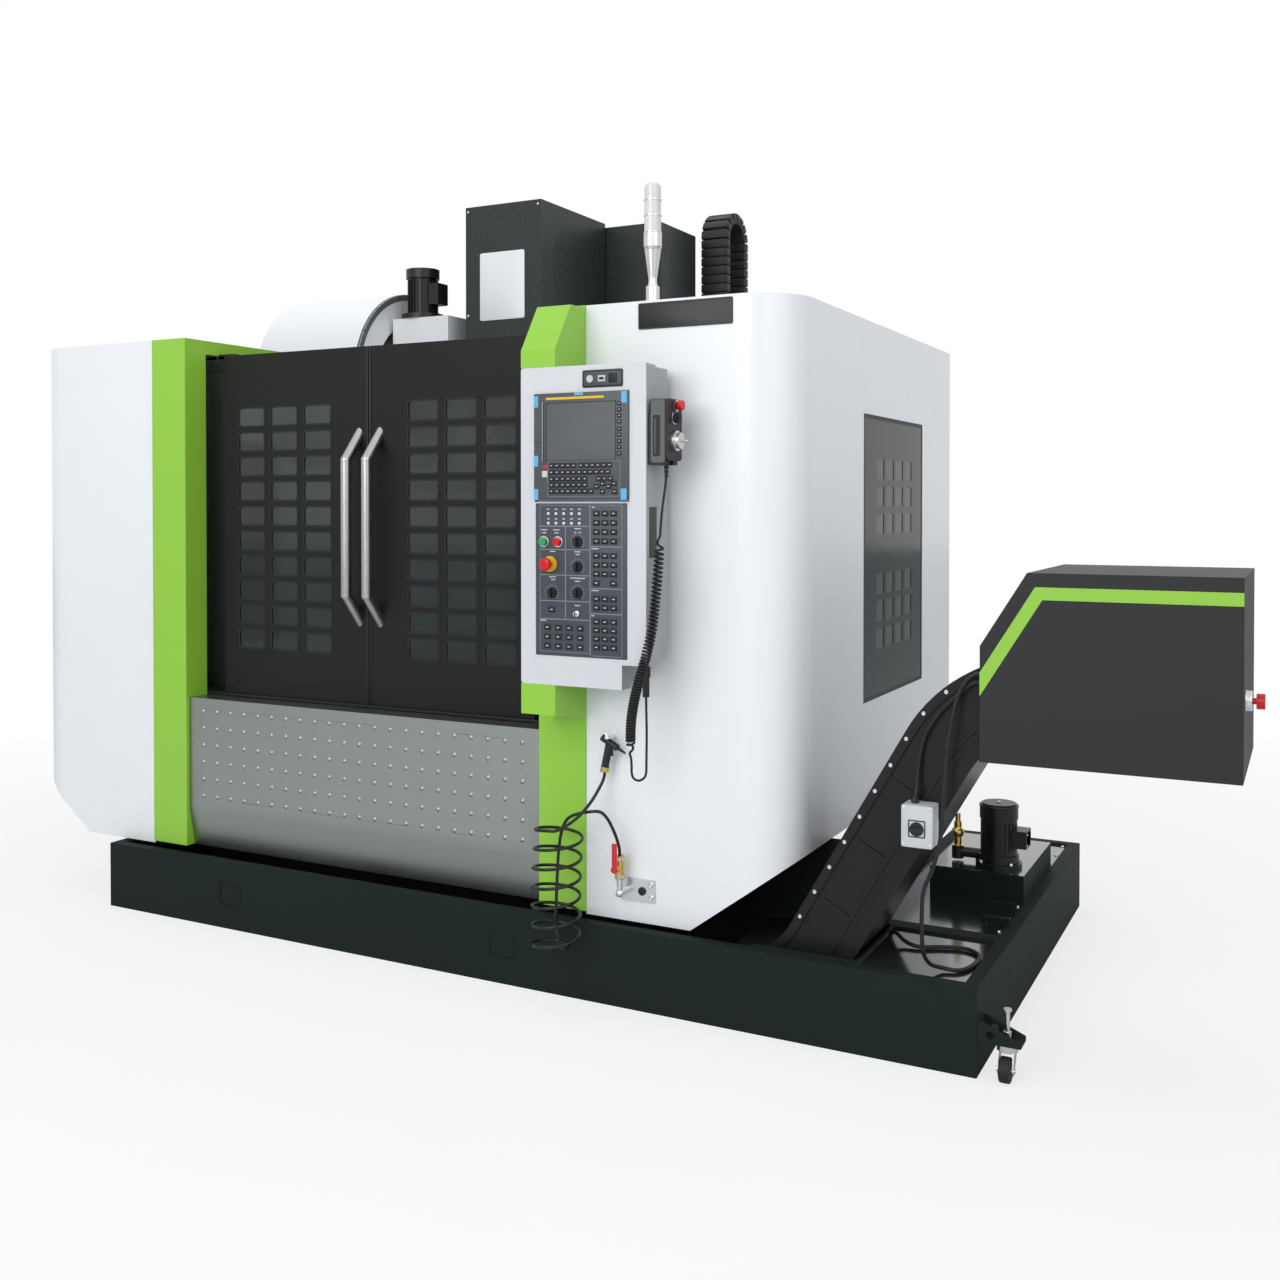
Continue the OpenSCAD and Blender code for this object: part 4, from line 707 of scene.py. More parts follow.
def coil(spine: Sequence[Vector], radius: float, span: Pair, ramp: float,
         pitch: Callable[[float], float], per_turn: int = 18) -> list[Vector]:
    """Cord that runs along a spine and coils round it over a part of its length.

    Args:
        spine: points of the middle line.
        radius: radius from the spine to the cord's middle.
        span: shares of the spine's length between which the cord is coiled.
        ramp: share of the length over which the coil opens and closes.
        pitch: distance between turns at a share from 0 to 1 of the coiled span.
        per_turn: points in one turn.

    Returns:
        Points of the cord.
    """
    lengths = [0.0]
    for a, b in zip(spine, spine[1:]):
        lengths.append(lengths[-1] + (b - a).length)
    total = lengths[-1]
    cord, along, turn, i = [], 0.0, 0.0, 0
    side = Vector((1, 0, 0))
    while along < total:
        while i < len(spine) - 2 and lengths[i + 1] < along:
            i += 1
        share = (along - lengths[i]) / max(lengths[i + 1] - lengths[i], TINY)
        ahead = (spine[i + 1] - spine[i]).normalized()
        side = (side - ahead * side.dot(ahead)).normalized()
        place = along / total
        opened = max(0.0, min(1.0, (place - span[0]) / ramp, (span[1] - place) / ramp))
        opened = opened * opened * (3 - 2 * opened)
        out = math.cos(turn) * side + math.sin(turn) * ahead.cross(side)
        cord.append(spine[i].lerp(spine[i + 1], share) + radius * opened * out)
        stretch = pitch((place - span[0]) / (span[1] - span[0])) * (8 - 7 * opened)
        step = stretch / per_turn if opened else 4.0
        along += step
        turn += 2 * math.pi / per_turn if opened else 0.0
    return [*cord[:-1], spine[-1]]


def cap_screw(radius: float, height: float, finish: Finish = Look.BOLT) -> Form:
    """Socket screw head that stands on the plane y = 0 and points to the front."""
    r, h = radius, height
    profile = [(r, 0), (r, 0.75 * h), (0.85 * r, h), (0.5 * r, h), (0.45 * r, 0.4 * h), (0, 0.4 * h)]
    return Form(finish).lathe((0, 0, 0), (0, -1, 0), profile, 14)


@dataclass(frozen=True)
class Lamp:
    """Soft square lamp, in metres and watts."""

    name: str
    spot: Triple
    aim: Triple
    size: float
    watts: float


@dataclass
class Studio:
    """Camera, lights, floor and background."""

    eye: Triple = (2992.0, -3574.0, 1540.0)
    yaw: float = 27.4
    pitch: float = -0.8
    lens: float = 36.78
    sensor: float = 36.0
    shift_y: float = -0.091
    far_clip: float = 200.0
    sky: tuple[float, float, float, float] = (0.93, 0.96, 1.0, 1.0)
    sky_strength: float = 0.54
    white: tuple[float, float, float, float] = (1.0, 1.0, 1.0, 1.0)
    floor_half: float = 40.0
    floor_white: float = 0.72
    floor_fade: Pair = (2.2, 5.5)
    lamps: tuple[Lamp, ...] = (
        Lamp("key", (-0.4, -7.8, 4.2), (-0.8, 0, 0.9), 5.0, 258.0),
        Lamp("fill", (7.0, -4.2, 5.2), (1.2, 0.6, 0.9), 7.0, 160.0),
        Lamp("top", (-0.5, 0.5, 7.0), (-0.5, 0.5, 0), 5.0, 125.0))

    def camera(self, machine: Machine) -> None:
        """Sets the camera where the photograph was taken."""
        data = bpy.data.cameras.new("camera")
        data.lens = self.lens
        data.sensor_width = self.sensor
        data.shift_y = self.shift_y
        data.clip_end = self.far_clip
        obj = bpy.data.objects.new("camera", data)
        obj.location = machine.row(self.eye)
        obj.rotation_euler = (math.radians(90 + self.pitch), 0, math.radians(self.yaw))
        bpy.context.scene.collection.objects.link(obj)
        bpy.context.scene.camera = obj

    def lamp(self, lamp: Lamp) -> None:
        """Adds one of the lamps."""
        data = bpy.data.lights.new(lamp.name, "AREA")
        data.shape = "SQUARE"
        data.size = lamp.size
        data.energy = lamp.watts
        obj = bpy.data.objects.new(lamp.name, data)
        obj.location = lamp.spot
        obj.rotation_euler = (Vector(lamp.aim) - Vector(lamp.spot)).to_track_quat("-Z", "Y").to_euler()
        bpy.context.scene.collection.objects.link(obj)

    def world(self) -> None:
        """Even light, white to the camera, in reflections and through panes."""
        world = bpy.data.worlds.new("studio")
        bpy.context.scene.world = world
        g = Graph(world)
        seen = g.node("ShaderNodeLightPath", out="Is Camera Ray")
        for other in ("Is Glossy Ray", "Is Transmission Ray"):
            seen = g.math("MAXIMUM", seen, g.node("ShaderNodeLightPath", out=other))
        soft = g.node("ShaderNodeBackground", None, {"Color": self.sky, "Strength": self.sky_strength})
        white = g.node("ShaderNodeBackground", None, {"Color": self.white, "Strength": 1.0})
        g.end(g.node("ShaderNodeMixShader", None, {0: seen, 1: soft, 2: white}), "ShaderNodeOutputWorld")

    def floor(self) -> None:
        """Pale floor that meets the white background."""
        half = self.floor_half
        corners = [(-half, -half, 0), (half, -half, 0), (half, half, 0), (-half, half, 0)]
        mesh = bpy.data.meshes.new("floor")
        mesh.from_pydata(corners, [], [(0, 1, 2, 3)])
        g = Graph(bpy.data.materials.new("studio_floor"))
        speck = g.noise(3.0, 3.0)
        ray = g.node("ShaderNodeLightPath", out="Is Camera Ray")
        reach = g.node("ShaderNodeVectorMath", {"operation": "LENGTH"}, {0: g.place}, out="Value")
        near, far = self.floor_fade
        share = g.node("ShaderNodeMapRange", None,
                       {"Value": reach, 1: near, 2: far, 3: self.floor_white, 4: 1.0})
        tone = g.blend((0.8, 0.81, 0.82), (0.84, 0.85, 0.86), speck)
        matte = g.node("ShaderNodeBsdfDiffuse", None, {"Color": tone})
        glow = g.node("ShaderNodeEmission", None, {"Color": self.white, "Strength": 1.0})
        g.end(g.node("ShaderNodeMixShader", None, {0: ray * share, 1: matte, 2: glow}))
        mesh.materials.append(g.owner)
        obj = bpy.data.objects.new("floor", mesh)
        bpy.context.scene.collection.objects.link(obj)

    def build(self, machine: Machine) -> None:
        """Sets up everything round the object."""
        self.camera(machine)
        self.world()
        self.floor()
        for lamp in self.lamps:
            self.lamp(lamp)
        bpy.context.scene.view_settings.view_transform = "Standard"


@dataclass
class Castings:
    """Bed, column, slides, table and spindle."""

    rail_z: float = 640.0

    def build(self, machine: Machine) -> None:
        """Dresses the castings and the ground faces on them."""
        rail: Test = lambda middle, normal: normal.z > 0.9 and middle.z > self.rail_z
        for node in ("machine_bed", "saddle"):
            machine.dress(node, Look.CAST, 4.0, [(rail, Look.GROUND)])
        machine.dress_all(("column", Look.CAST, 4.0), ("headstock", Look.CAST, 4.0),
                          ("table", Look.GROUND, 1.5), ("chip_pans", Look.STAINLESS, 0.6),
                          ("spindle", Look.GROUND, 0.8))


@dataclass
class Enclosure:
    """Sheet metal shell, pillars, apron, door frame and side windows."""

    cell_x: float = 1632.0
    plate_low: Pair = (1135.0, 2079.0)
    plate_high: Pair = (1450.0, 2159.0)
    plate_rim: float = 5.0
    door_skin: float = 34.0
    slats: int = 13
    slat_pitch: float = 16.0

    def build(self, machine: Machine) -> None:
        """Dresses the shell and adds its seals, blank plate and grilles."""
        for node in ("left_enclosure", "right_enclosure", "rear_enclosure", "cabinet_door"):
            machine.dress(node, Look.WHITE, 1.2)
        machine.dress_all(("front_pillars", Look.GREEN, 1.2), ("panel_brackets", Look.GREEN, 3.0),
                          ("door_frame", Look.BLACK, 1.5), ("front_apron", Look.STAINLESS, 0.8))
        cell: Test = lambda middle, normal: abs(abs(middle.x) - self.cell_x) < 0.6 and abs(normal.x) > 0.9
        machine.dress("side_windows", Look.SIDE_PANE, 0.6, [(cell, Look.SIDE_CELL)])
        self.window_seals(machine)
        self.blank_plate(machine)
        self.cabinet(machine)

    def window_seals(self, machine: Machine) -> None:
        """Rubber edge round each side window."""
        low, high = machine.box("side_windows")
        for name, face, out in (("left_window_seal", low.x, -1), ("right_window_seal", high.x, 1)):
            outer = rounded((low.y + 0.5, low.z + 0.5), (high.y - 0.5, high.z - 0.5), 5)
            inner = rounded((low.y + 14, low.z + 14), (high.y - 14, high.z - 14), 8)
            ends = sorted((face - out * 1.0, face + out * 0.9))
            machine.place(name, Form(Look.RUBBER).collar(outer, inner, Axis.X, *ends), "frame")

    def blank_plate(self, machine: Machine) -> None:
        """Blank plate with a raised rim on the right front panel."""
        (x0, z0), (x1, z1), rim = self.plate_low, self.plate_high, self.plate_rim
        outer = rounded(self.plate_low, self.plate_high, rim)
        form = Form(Look.BLACK).plate(outer, Axis.Y, -2.4, 0, 0.6)
        form.collar(outer, rounded((x0 + rim, z0 + rim), (x1 - rim, z1 - rim), 3), Axis.Y, -3.2, -2.0)
        machine.place("front_blank_plate", form, "frame")

    def cabinet(self, machine: Machine) -> None:
        """Two vent grilles on the rear cabinet's door."""
        low, high = machine.box("cabinet_door")
        skin = high.y - self.door_skin
        middle = (low.x + high.x) / 2
        form = Form(Look.GREY_PLASTIC)
        for z in (low.z + 260, high.z - 340):
            outer = rounded((middle - 120, z - 20), (middle + 120, z + 220), 12)
            inner = rounded((middle - 104, z - 4), (middle + 104, z + 204), 8)
            form.collar(outer, inner, Axis.Y, skin - 1, skin + 8)
            for k in range(self.slats):
                foot = z + k * self.slat_pitch
                form.box((middle - 104, skin - 1, foot), (middle + 104, skin + 5, foot + 6), 1.0)
        machine.place("cabinet_grilles", form, "cabinet_leaf")


@dataclass
class Doors:
    """Two sliding doors with their panes, seals and bar handles."""

    pane_size: Pair = (129.0, 70.0)
    pane_pitch: Pair = (159.0, 92.4)
    first_pane: Pair = (172.0, 1003.0)
    columns: int = 3
    rows: int = 10
    face: float = 107.0
    pocket: Pair = (684.0, 905.0)
    pocket_caps: tuple[Triple, ...] = ((694, 905, 8), (694, 772, 15), (784, 905, 24))

    def gasket(self) -> Form:
        """Lip of one window pane with its lower left corner at the origin."""
        w, h = self.pane_size
        outer, inner = rounded((-3, -3), (w + 3, h + 3), 14), rounded((3, 3), (w - 3, h - 3), 10)
        return Form(Look.RUBBER).collar(outer, inner, Axis.Y, -1.0, 2.5)

    def leaf(self, machine: Machine, side: str, sign: int) -> None:
        """Dresses one door and builds its gaskets and meeting seal."""
        body = f"{side}_door_leaf"
        machine.dress_all((f"{side}_door", Look.CHARCOAL, 1.2), (f"{side}_glass", Look.PANE, 0.5),
                          (f"{side}_handle", Look.BAR, 0.4))
        (w, _), (dx, dz), (x0, z0) = self.pane_size, self.pane_pitch, self.first_pane
        lefts = [x0 + i * dx if sign > 0 else -x0 - i * dx - w for i in range(self.columns)]
        spots = [(x, self.face, z0 + j * dz) for x in lefts for j in range(self.rows)]
        machine.place(f"{side}_door_gaskets", Form(Look.RUBBER).stamp(self.gasket(), spots), body)
        low, high = machine.box(f"{side}_door")
        edge = low.x if sign > 0 else high.x
        near, far = sorted((edge, edge + sign * 9))
        seal = Form(Look.RUBBER)
        seal.box((near, self.face - 2.5, low.z + 3), (far, self.face, high.z - 3), 1.0)
        machine.place(f"{side}_door_seal", seal, body)

    def build(self, machine: Machine) -> None:
        """Builds both doors and the sheets behind their outer ends."""
        self.leaf(machine, "left", -1)
        self.leaf(machine, "right", 1)
        low, high = machine.box("left_door")
        form = Form(Look.BLACK)
        for sign in (-1, 1):
            near, far = sorted((sign * self.pocket[0], sign * self.pocket[1]))
            form.box((near, high.y + 3.5, low.z + 4), (far, high.y + 8.2, high.z - 60), 0.6)
            for inner, outer, top in self.pocket_caps:
                near, far = sorted((sign * inner, sign * outer))
                form.box((near, high.y + 14, high.z - 5), (far, high.y + 44, high.z + top), 1.0)
        machine.place("door_pocket_sheets", form, "frame")


@dataclass
class Head:
    """Head cover, column cap and cable carrier."""

    link_count: int = 36
    link_t: float = 50.0
    chain_foot: float = 2390.0
    plate_x: Pair = (-112.0, 106.0)
    plate_down: Pair = (478.0, 198.0)

    def build(self, machine: Machine) -> None:
        """Dresses the covers and builds the link chain."""
        machine.dress_all(("head_cover", Look.HAMMER, 2.5), ("column_cap", Look.HAMMER, 2.5))
        low, high = machine.box("head_cover")
        (x0, x1), (down0, down1) = self.plate_x, self.plate_down
        form = Form(Look.WHITE)
        form.plate(rounded((x0, high.z - down0), (x1, high.z - down1), 9), Axis.Y, low.y - 2, low.y, 0.6)
        heights = (high.z - 20, (low.z + high.z) / 2, low.z + 20)
        form.stamp(cap_screw(5, 3), [(x, low.y, z) for x in (low.x + 14, high.x - 14) for z in heights])
        machine.place("head_cover_plate", form, "head_slide")
        self.chain(machine)

    def chain(self, machine: Machine) -> None:
        """Chain of moulded links over a half-round bend, fitted to the cable carrier's box."""
        low, high = machine.box("cable_carrier")
        outer = (high.y - low.y) / 2
        middle_y, bend_z = (low.y + high.y) / 2, high.z - outer
        mean = outer - self.link_t / 2
        rise, bend, fall = bend_z - self.chain_foot, math.pi * mean, bend_z - low.z
        pitch = (rise + bend + fall) / self.link_count
        link = self.link(low.x, high.x, pitch)
        form = Form(Look.CHAIN, Look.PIN)
        for k in range(self.link_count):
            d = (k + 0.5) * pitch
            turn = min(max((d - rise) / mean, 0.0), math.pi)
            off = min(d - rise, 0.0) if turn < math.pi else rise + bend - d
            spot = (0, middle_y - mean * math.cos(turn), bend_z + mean * math.sin(turn) + off)
            form.stamp(link, [spot], Matrix.Rotation(-turn, 3, "X"))
        obj = machine.place("carrier_chain", form, "", ["cable_carrier"])
        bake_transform(obj)

    def link(self, x0: float, x1: float, pitch: float) -> Form:
        """One link with its middle at the origin and its run along z."""
        form = Form(Look.CHAIN, Look.PIN)
        half_t = self.link_t / 2 - 0.6
        for face, inward in ((x0, 1), (x1, -1)):
            inner = face + 12 * inward
            near, far = sorted((inner, face + 2 * inward))
            form.use(Look.CHAIN).box((near, -half_t, -pitch / 2 + 1.2), (far, half_t, pitch / 2 - 1.2), 4.0)
            form.use(Look.PIN).rod((face, 0, pitch * 0.22), (inner, 0, pitch * 0.22), 3.4)
            form.use(Look.CHAIN).rod((face, 0, -pitch * 0.25), (inner, 0, -pitch * 0.25), 6.0)
        for y in (-half_t, half_t - 6):
            form.box((x0 + 8, y, -pitch * 0.46), (x1 - 8, y + 6, pitch * 0.46), 2.0)
        return form


@dataclass
class Magazine:
    """Tool magazine and changer."""

    motor_z: float = 2343.0
    ring_inset: float = 34.0

    def build(self, machine: Machine) -> None:
        """Dresses the magazine and adds the rings at the drum's open end."""
        machine.dress_all(("magazine_cover", Look.WHITE, 1.2), ("magazine_disc", Look.WHITE, 0.8),
                          ("tool_arm", Look.SATIN, 1.5))
        motor: Test = lambda middle, normal: middle.z > self.motor_z
        machine.dress("cam_box", Look.WHITE, 2.0, [(motor, Look.BLACK)])
        low, high = machine.box("magazine_cover")
        rim = (high.z - low.z) / 2
        base = (high.x - self.ring_inset, (low.y + high.y) / 2, (low.z + high.z) / 2)
        form = Form(Look.GREY)
        form.lathe(base, (1, 0, 0), [(rim - 2, 0), (rim, 1), (rim, 20), (rim - 2, 21)], 72)
        lip = [(rim - 2, 21), (rim + 0.5, 22), (rim + 0.5, 33), (rim - 3, 35.5), (rim - 5, 35.6),
               (rim - 24, 35.6), (rim - 26, 34)]
        form.use(Look.HOLDER).lathe(base, (1, 0, 0), lip, 72)
        machine.place("drum_end_rings", form, "frame")


@dataclass
class OperatorPanel:
    """Swivelling box with the screen, keys, knobs and buttons."""

    face: float = -194.0
    screen_unit: tuple[float, float, float, float] = (878.0, 1554.5, 1203.0, 1877.0)
    key_unit: tuple[float, float, float, float] = (882.0, 1086.0, 1196.0, 1543.5)
    screen: tuple[float, float, float, float] = (924.0, 1674.0, 1160.0, 1846.0)
    soft_keys: tuple[float, ...] = (1833, 1815, 1797, 1780, 1758, 1741, 1722, 1705, 1686)
    key_rows: tuple[float, ...] = (1574, 1593, 1611, 1631, 1651)
    key_pitch: float = 19.4
    key_size: Pair = (22.0, 17.0)
    dial_spots: tuple[Pair, ...] = ((1030, 1431), (1030, 1356), (941, 1276), (1030, 1278))
    dial_marks: int = 13
    body: str = "operator_box"

    def key(self, w: float, h: float, tall: float = 3.0) -> Form:
        """Key with a plain mark, its lower left corner at the origin."""
        form = Form(Look.KEY, Look.LEGEND)
        form.box((0, -tall, 0), (w, 1, h), 1.2)
        mark_lo, mark_hi = (w * 0.3, -tall - 0.25, h * 0.42), (w * 0.7, -tall + 0.2, h * 0.6)
        return form.use(Look.LEGEND).box(mark_lo, mark_hi, 0.1, 1)

    def grid(self, form: Form, x: float, z: float, shape: tuple[int, int], pitch: Pair,
             skip: Sequence[tuple[int, int]] = ()) -> None:
        """Stamps a block of keys with its lower left corner at x and z."""
        places = [(i, j) for i in range(shape[0]) for j in range(shape[1]) if (i, j) not in skip]
        spots = [(x + i * pitch[0], self.face, z + j * pitch[1]) for i, j in places]
        form.stamp(self.key(*self.key_size), spots)

    def frame_line(self, form: Form, lo: Point, hi: Point, y: float) -> None:
        """Printed line round a field, given by x and z corners."""
        inner = rounded((lo[0] + 1.3, lo[1] + 1.3), (hi[0] - 1.3, hi[1] - 1.3), 1.5)
        form.use(Look.LINE).collar(rounded(lo, hi, 2.5), inner, Axis.Y, y - 0.25, y + 0.2)

    def dashes(self, form: Form, spots: Iterable[Triple], y: float) -> None:
        """Plain marks in place of lettering, each given by its middle and width."""
        form.use(Look.LEGEND)
        for x, z, w in spots:
            form.box((x - w / 2, y - 0.25, z - 1.6), (x + w / 2, y + 0.2, z + 1.6), 0, 1)

    def screen_face(self, form: Form) -> None:
        """Screen with its rim, side strip, soft keys and keyboard."""
        x0, z0, x1, z1 = self.screen_unit
        front = self.face - 3
        sx0, sz0, sx1, sz1 = self.screen
        form.use(Look.BEZEL).box((x0, front, z0), (x1, self.face + 14, z1), 3.0)
        form.use(Look.KEY).collar(rounded((sx0 - 2, sz0 - 2), (sx1 + 2, sz1 + 2), 3),
                                  rounded((sx0, sz0), (sx1, sz1), 2), Axis.Y, front - 0.8, front + 0.5)
        form.use(Look.SCREEN).plate(rounded((sx0, sz0), (sx1, sz1), 2), Axis.Y, front - 0.4, front + 0.5, 0.2)
        form.use(Look.KEY).box((912, front - 0.5, 1672), (915, front + 0.4, 1852), 0.3)
        form.use(Look.LEGEND).box((908.5, front - 0.4, 1672), (910, front + 0.4, 1852), 0.2)
        form.use(Look.KEY).box((880, front - 0.3, 1730), (908, front + 0.4, 1731.5), 0.1, 1)
        form.use(Look.YELLOW).box((922, front - 0.3, 1857), (1121, front + 0.3, 1864), 0, 1)
        form.use(Look.GREY_PLASTIC).box((909, front - 4, 1624), (928, front + 0.5, 1644), 2.0)
        form.use(Look.RED).box((911, front - 1, 1651), (926, front + 0.5, 1660), 0.8)
        form.stamp(self.key(14, 12, 2.0), [(1166, front, z) for z in self.soft_keys])
        self.frame_line(form, (928, 1566), (1176, 1672), front)
        spots = []
        for j, z in enumerate(self.key_rows):
            gap = 6.0 if j == 4 else 0.0
            count = 11 if j > 2 else 7
            spots += [(933 + i * self.key_pitch + (gap if i > 4 else 0.0), front, z) for i in range(count)]
        spots += [(1096, front, 1611), (1115.5, front, 1611), (1135, front, 1611), (1089, front, 1588),
                  (1109, front, 1596), (1109, front, 1573), (1129, front, 1588), (1148, front, 1596),
                  (1149, front, 1573), (1070, front, 1574)]
        form.stamp(self.key(16.6, 15.5, 2.4), spots)
        form.use(Look.FILM)
        for x, z, w, h in ((879, 1836, 15, 34), (1180, 1840, 18, 34), (879, 1657, 15, 33),
                           (879, 1556, 15, 33), (1178, 1556, 19, 33), (1021, 1868, 30, 8)):
            form.box((x, front - 0.3, z), (x + w, front + 0.2, z + h), 0, 1)

    def key_face(self, form: Form) -> None:
        """Key unit with its printed fields, keys, lamps and key switch."""
        x0, z0, x1, z1 = self.key_unit
        form.use(Look.SLATE).box((x0, self.face, z0), (x1, self.face + 14, z1), 3.0)
        fields = [((898, 1477), (1072, 1541)), ((898, 1407), (988, 1477)), ((988, 1407), (1072, 1477)),
                  ((898, 1330), (988, 1407)), ((988, 1330), (1072, 1407)), ((898, 1252), (988, 1330)),
                  ((988, 1252), (1072, 1330)), ((898, 1197), (988, 1252)), ((988, 1197), (1072, 1252)),
                  ((898, 1098), (1072, 1197)), ((1074, 1417), (1181, 1541)), ((1074, 1293), (1181, 1417)),
                  ((1074, 1218), (1181, 1293)), ((1074, 1092), (1181, 1218))]
        for lo, hi in fields:
            self.frame_line(form, lo, hi, self.face)
        self.grid(form, 1084, 1425, (3, 4), (29, 27.4))
        self.grid(form, 1084, 1301, (3, 4), (29, 27.0), [(1, 0)])
        self.grid(form, 1084, 1228, (3, 2), (29, 26.0))
        self.grid(form, 1084, 1110, (3, 4), (29, 25.4))
        self.grid(form, 914, 1107, (4, 3), (38, 28.0))
        self.grid(form, 929, 1217, (1, 1), (1, 1))
        lamp = Form(Look.LENS).box((-4.5, -1.2, -4.0), (4.5, 0.5, 4.0), 1.0)
        columns = [928 + 27 * i for i in range(5)]
        form.stamp(lamp, [(x, self.face, z) for x in columns for z in (1515, 1486)])
        self.dashes(form, [(x, z, 10) for x in columns for z in (1528, 1499)], self.face)
        heads = [(913, 1466, 22), (957, 1466, 22), (913, 1457, 14), (957, 1457, 14), (1030, 1470, 22),
                 (1022, 1459, 9), (1038, 1459, 9), (943, 1401, 20), (1030, 1401, 22), (1030, 1393, 14),
                 (943, 1324, 24), (945, 1316, 14), (1030, 1322, 52), (1030, 1313, 18), (1029, 1240, 18),
                 (910, 1192, 20), (1090, 1411, 24), (1090, 1287, 24), (1082, 1212, 10), (1084, 1534, 10)]
        self.dashes(form, heads, self.face)
        lock = [(9, -0.5), (9, 4), (7.5, 5), (0, 5)]
        form.use(Look.BOLT).lathe((1028, self.face, 1216), (0, -1, 0), lock, 24)
        form.use(Look.SATIN).box((1026.8, self.face - 22, 1211), (1029.2, self.face - 4, 1221), 0.6)
        self.dials(form)
        self.bezels(form)

    def units(self, machine: Machine) -> None:
        """Screen unit and key unit with everything fixed on them."""
        form = Form(Look.SLATE)
        self.screen_face(form)
        self.key_face(form)
        machine.place("operator_units", form, self.body, ["panel_units"])

    def dials(self, form: Form) -> None:
        """Scale marks round the four rotary switches."""
        form.use(Look.LEGEND)
        y = self.face - 0.25
        for x, z in self.dial_spots:
            for k in range(self.dial_marks):
                turn = math.radians(-40 + k * 260 / (self.dial_marks - 1))
                ends = [(x + r * math.cos(turn), y, z + r * math.sin(turn)) for r in (20, 25)]
                form.rod(*ends, 0.7, 0.1, 6)

    def bezels(self, form: Form) -> None:
        """Rings round the push buttons."""
        ring = [(17, -0.5), (17, 3), (15.5, 4.2), (13.2, 4.2), (13, 0)]
        for x, z in ((913, 1430), (962, 1430)):
            form.use(Look.BOLT).lathe((x, self.face, z), (0, -1, 0), ring, 28)
        ring = [(24, -0.5), (24, 3), (22.5, 5), (9, 5), (9, 0)]
        form.use(Look.YELLOW).lathe((934, self.face, 1363), (0, -1, 0), ring, 36)

    def ports(self, form: Form) -> None:
        """Port plate above the screen."""
        y = self.face + 4
        form.use(Look.PLASTIC).plate(rounded((1046, 1889), (1182, 1941), 5), Axis.Y, y - 3, y + 0.5, 0.8)
        form.use(Look.SLATE).plate(rounded((1052, 1895), (1176, 1935), 4), Axis.Y, y - 3.6, y - 2, 0.4)
        socket = [(11, 0), (11, 2), (8, 2), (7.5, 0.4), (0, 0.4)]
        form.use(Look.GREY_PLASTIC).lathe((1072, y - 3.4, 1915), (0, -1, 0), socket, 24)
        form.use(Look.GREY_PLASTIC).box((1100, y - 5, 1906), (1124, y - 3, 1924), 0.8)
        form.use(Look.KEY).box((1104, y - 5.3, 1911), (1120, y - 4.6, 1919), 0.4)
        form.use(Look.KEY).box((1136, y - 6, 1901), (1164, y - 3, 1929), 1.2)

    def shell(self, machine: Machine) -> None:
        """Box with its side slot and port plate."""
        side: Test = lambda middle, normal: normal.x > 0.8
        rear: Test = lambda middle, normal: middle.y > -127.5
        holder: Test = lambda middle, normal: middle.x > 1258.5
        gland: Test = lambda middle, normal: middle.z < 1068 and middle.x > 1205
        # The box's side and rear faces take a darker copy of the panel white: painted shade.
        fields = [(side, Look.PANEL_PAINTED_SHADE), (rear, Look.PANEL_PAINTED_SHADE), (gland, Look.PLASTIC),
                  (holder, Look.PLASTIC)]
        machine.dress("control_box", Look.PANEL_WHITE, 2.0, fields)
        # The side slot is a flat plate in a dark colour: painted shade of the slot's recess.
        form = Form(Look.SHADOW)
        form.plate(rounded((-171, 1385), (-122, 1535), 2), Axis.X, 1257.5, 1258.5, 0.3)
        self.ports(form)
        machine.place("operator_box_trim", form, self.body)

    def build(self, machine: Machine) -> None:
        """Builds the operator panel."""
        self.shell(machine)
        self.units(machine)
        machine.dress_all(("estop_button", Look.RED, 1.0), ("start_button", Look.GREEN_KEY, 1.2),
                          ("stop_button", Look.RED, 1.2))
        for node in ("feed_knob", "spindle_knob", "mode_knob", "rapid_knob"):
            machine.dress(node, Look.PLASTIC, 1.2)


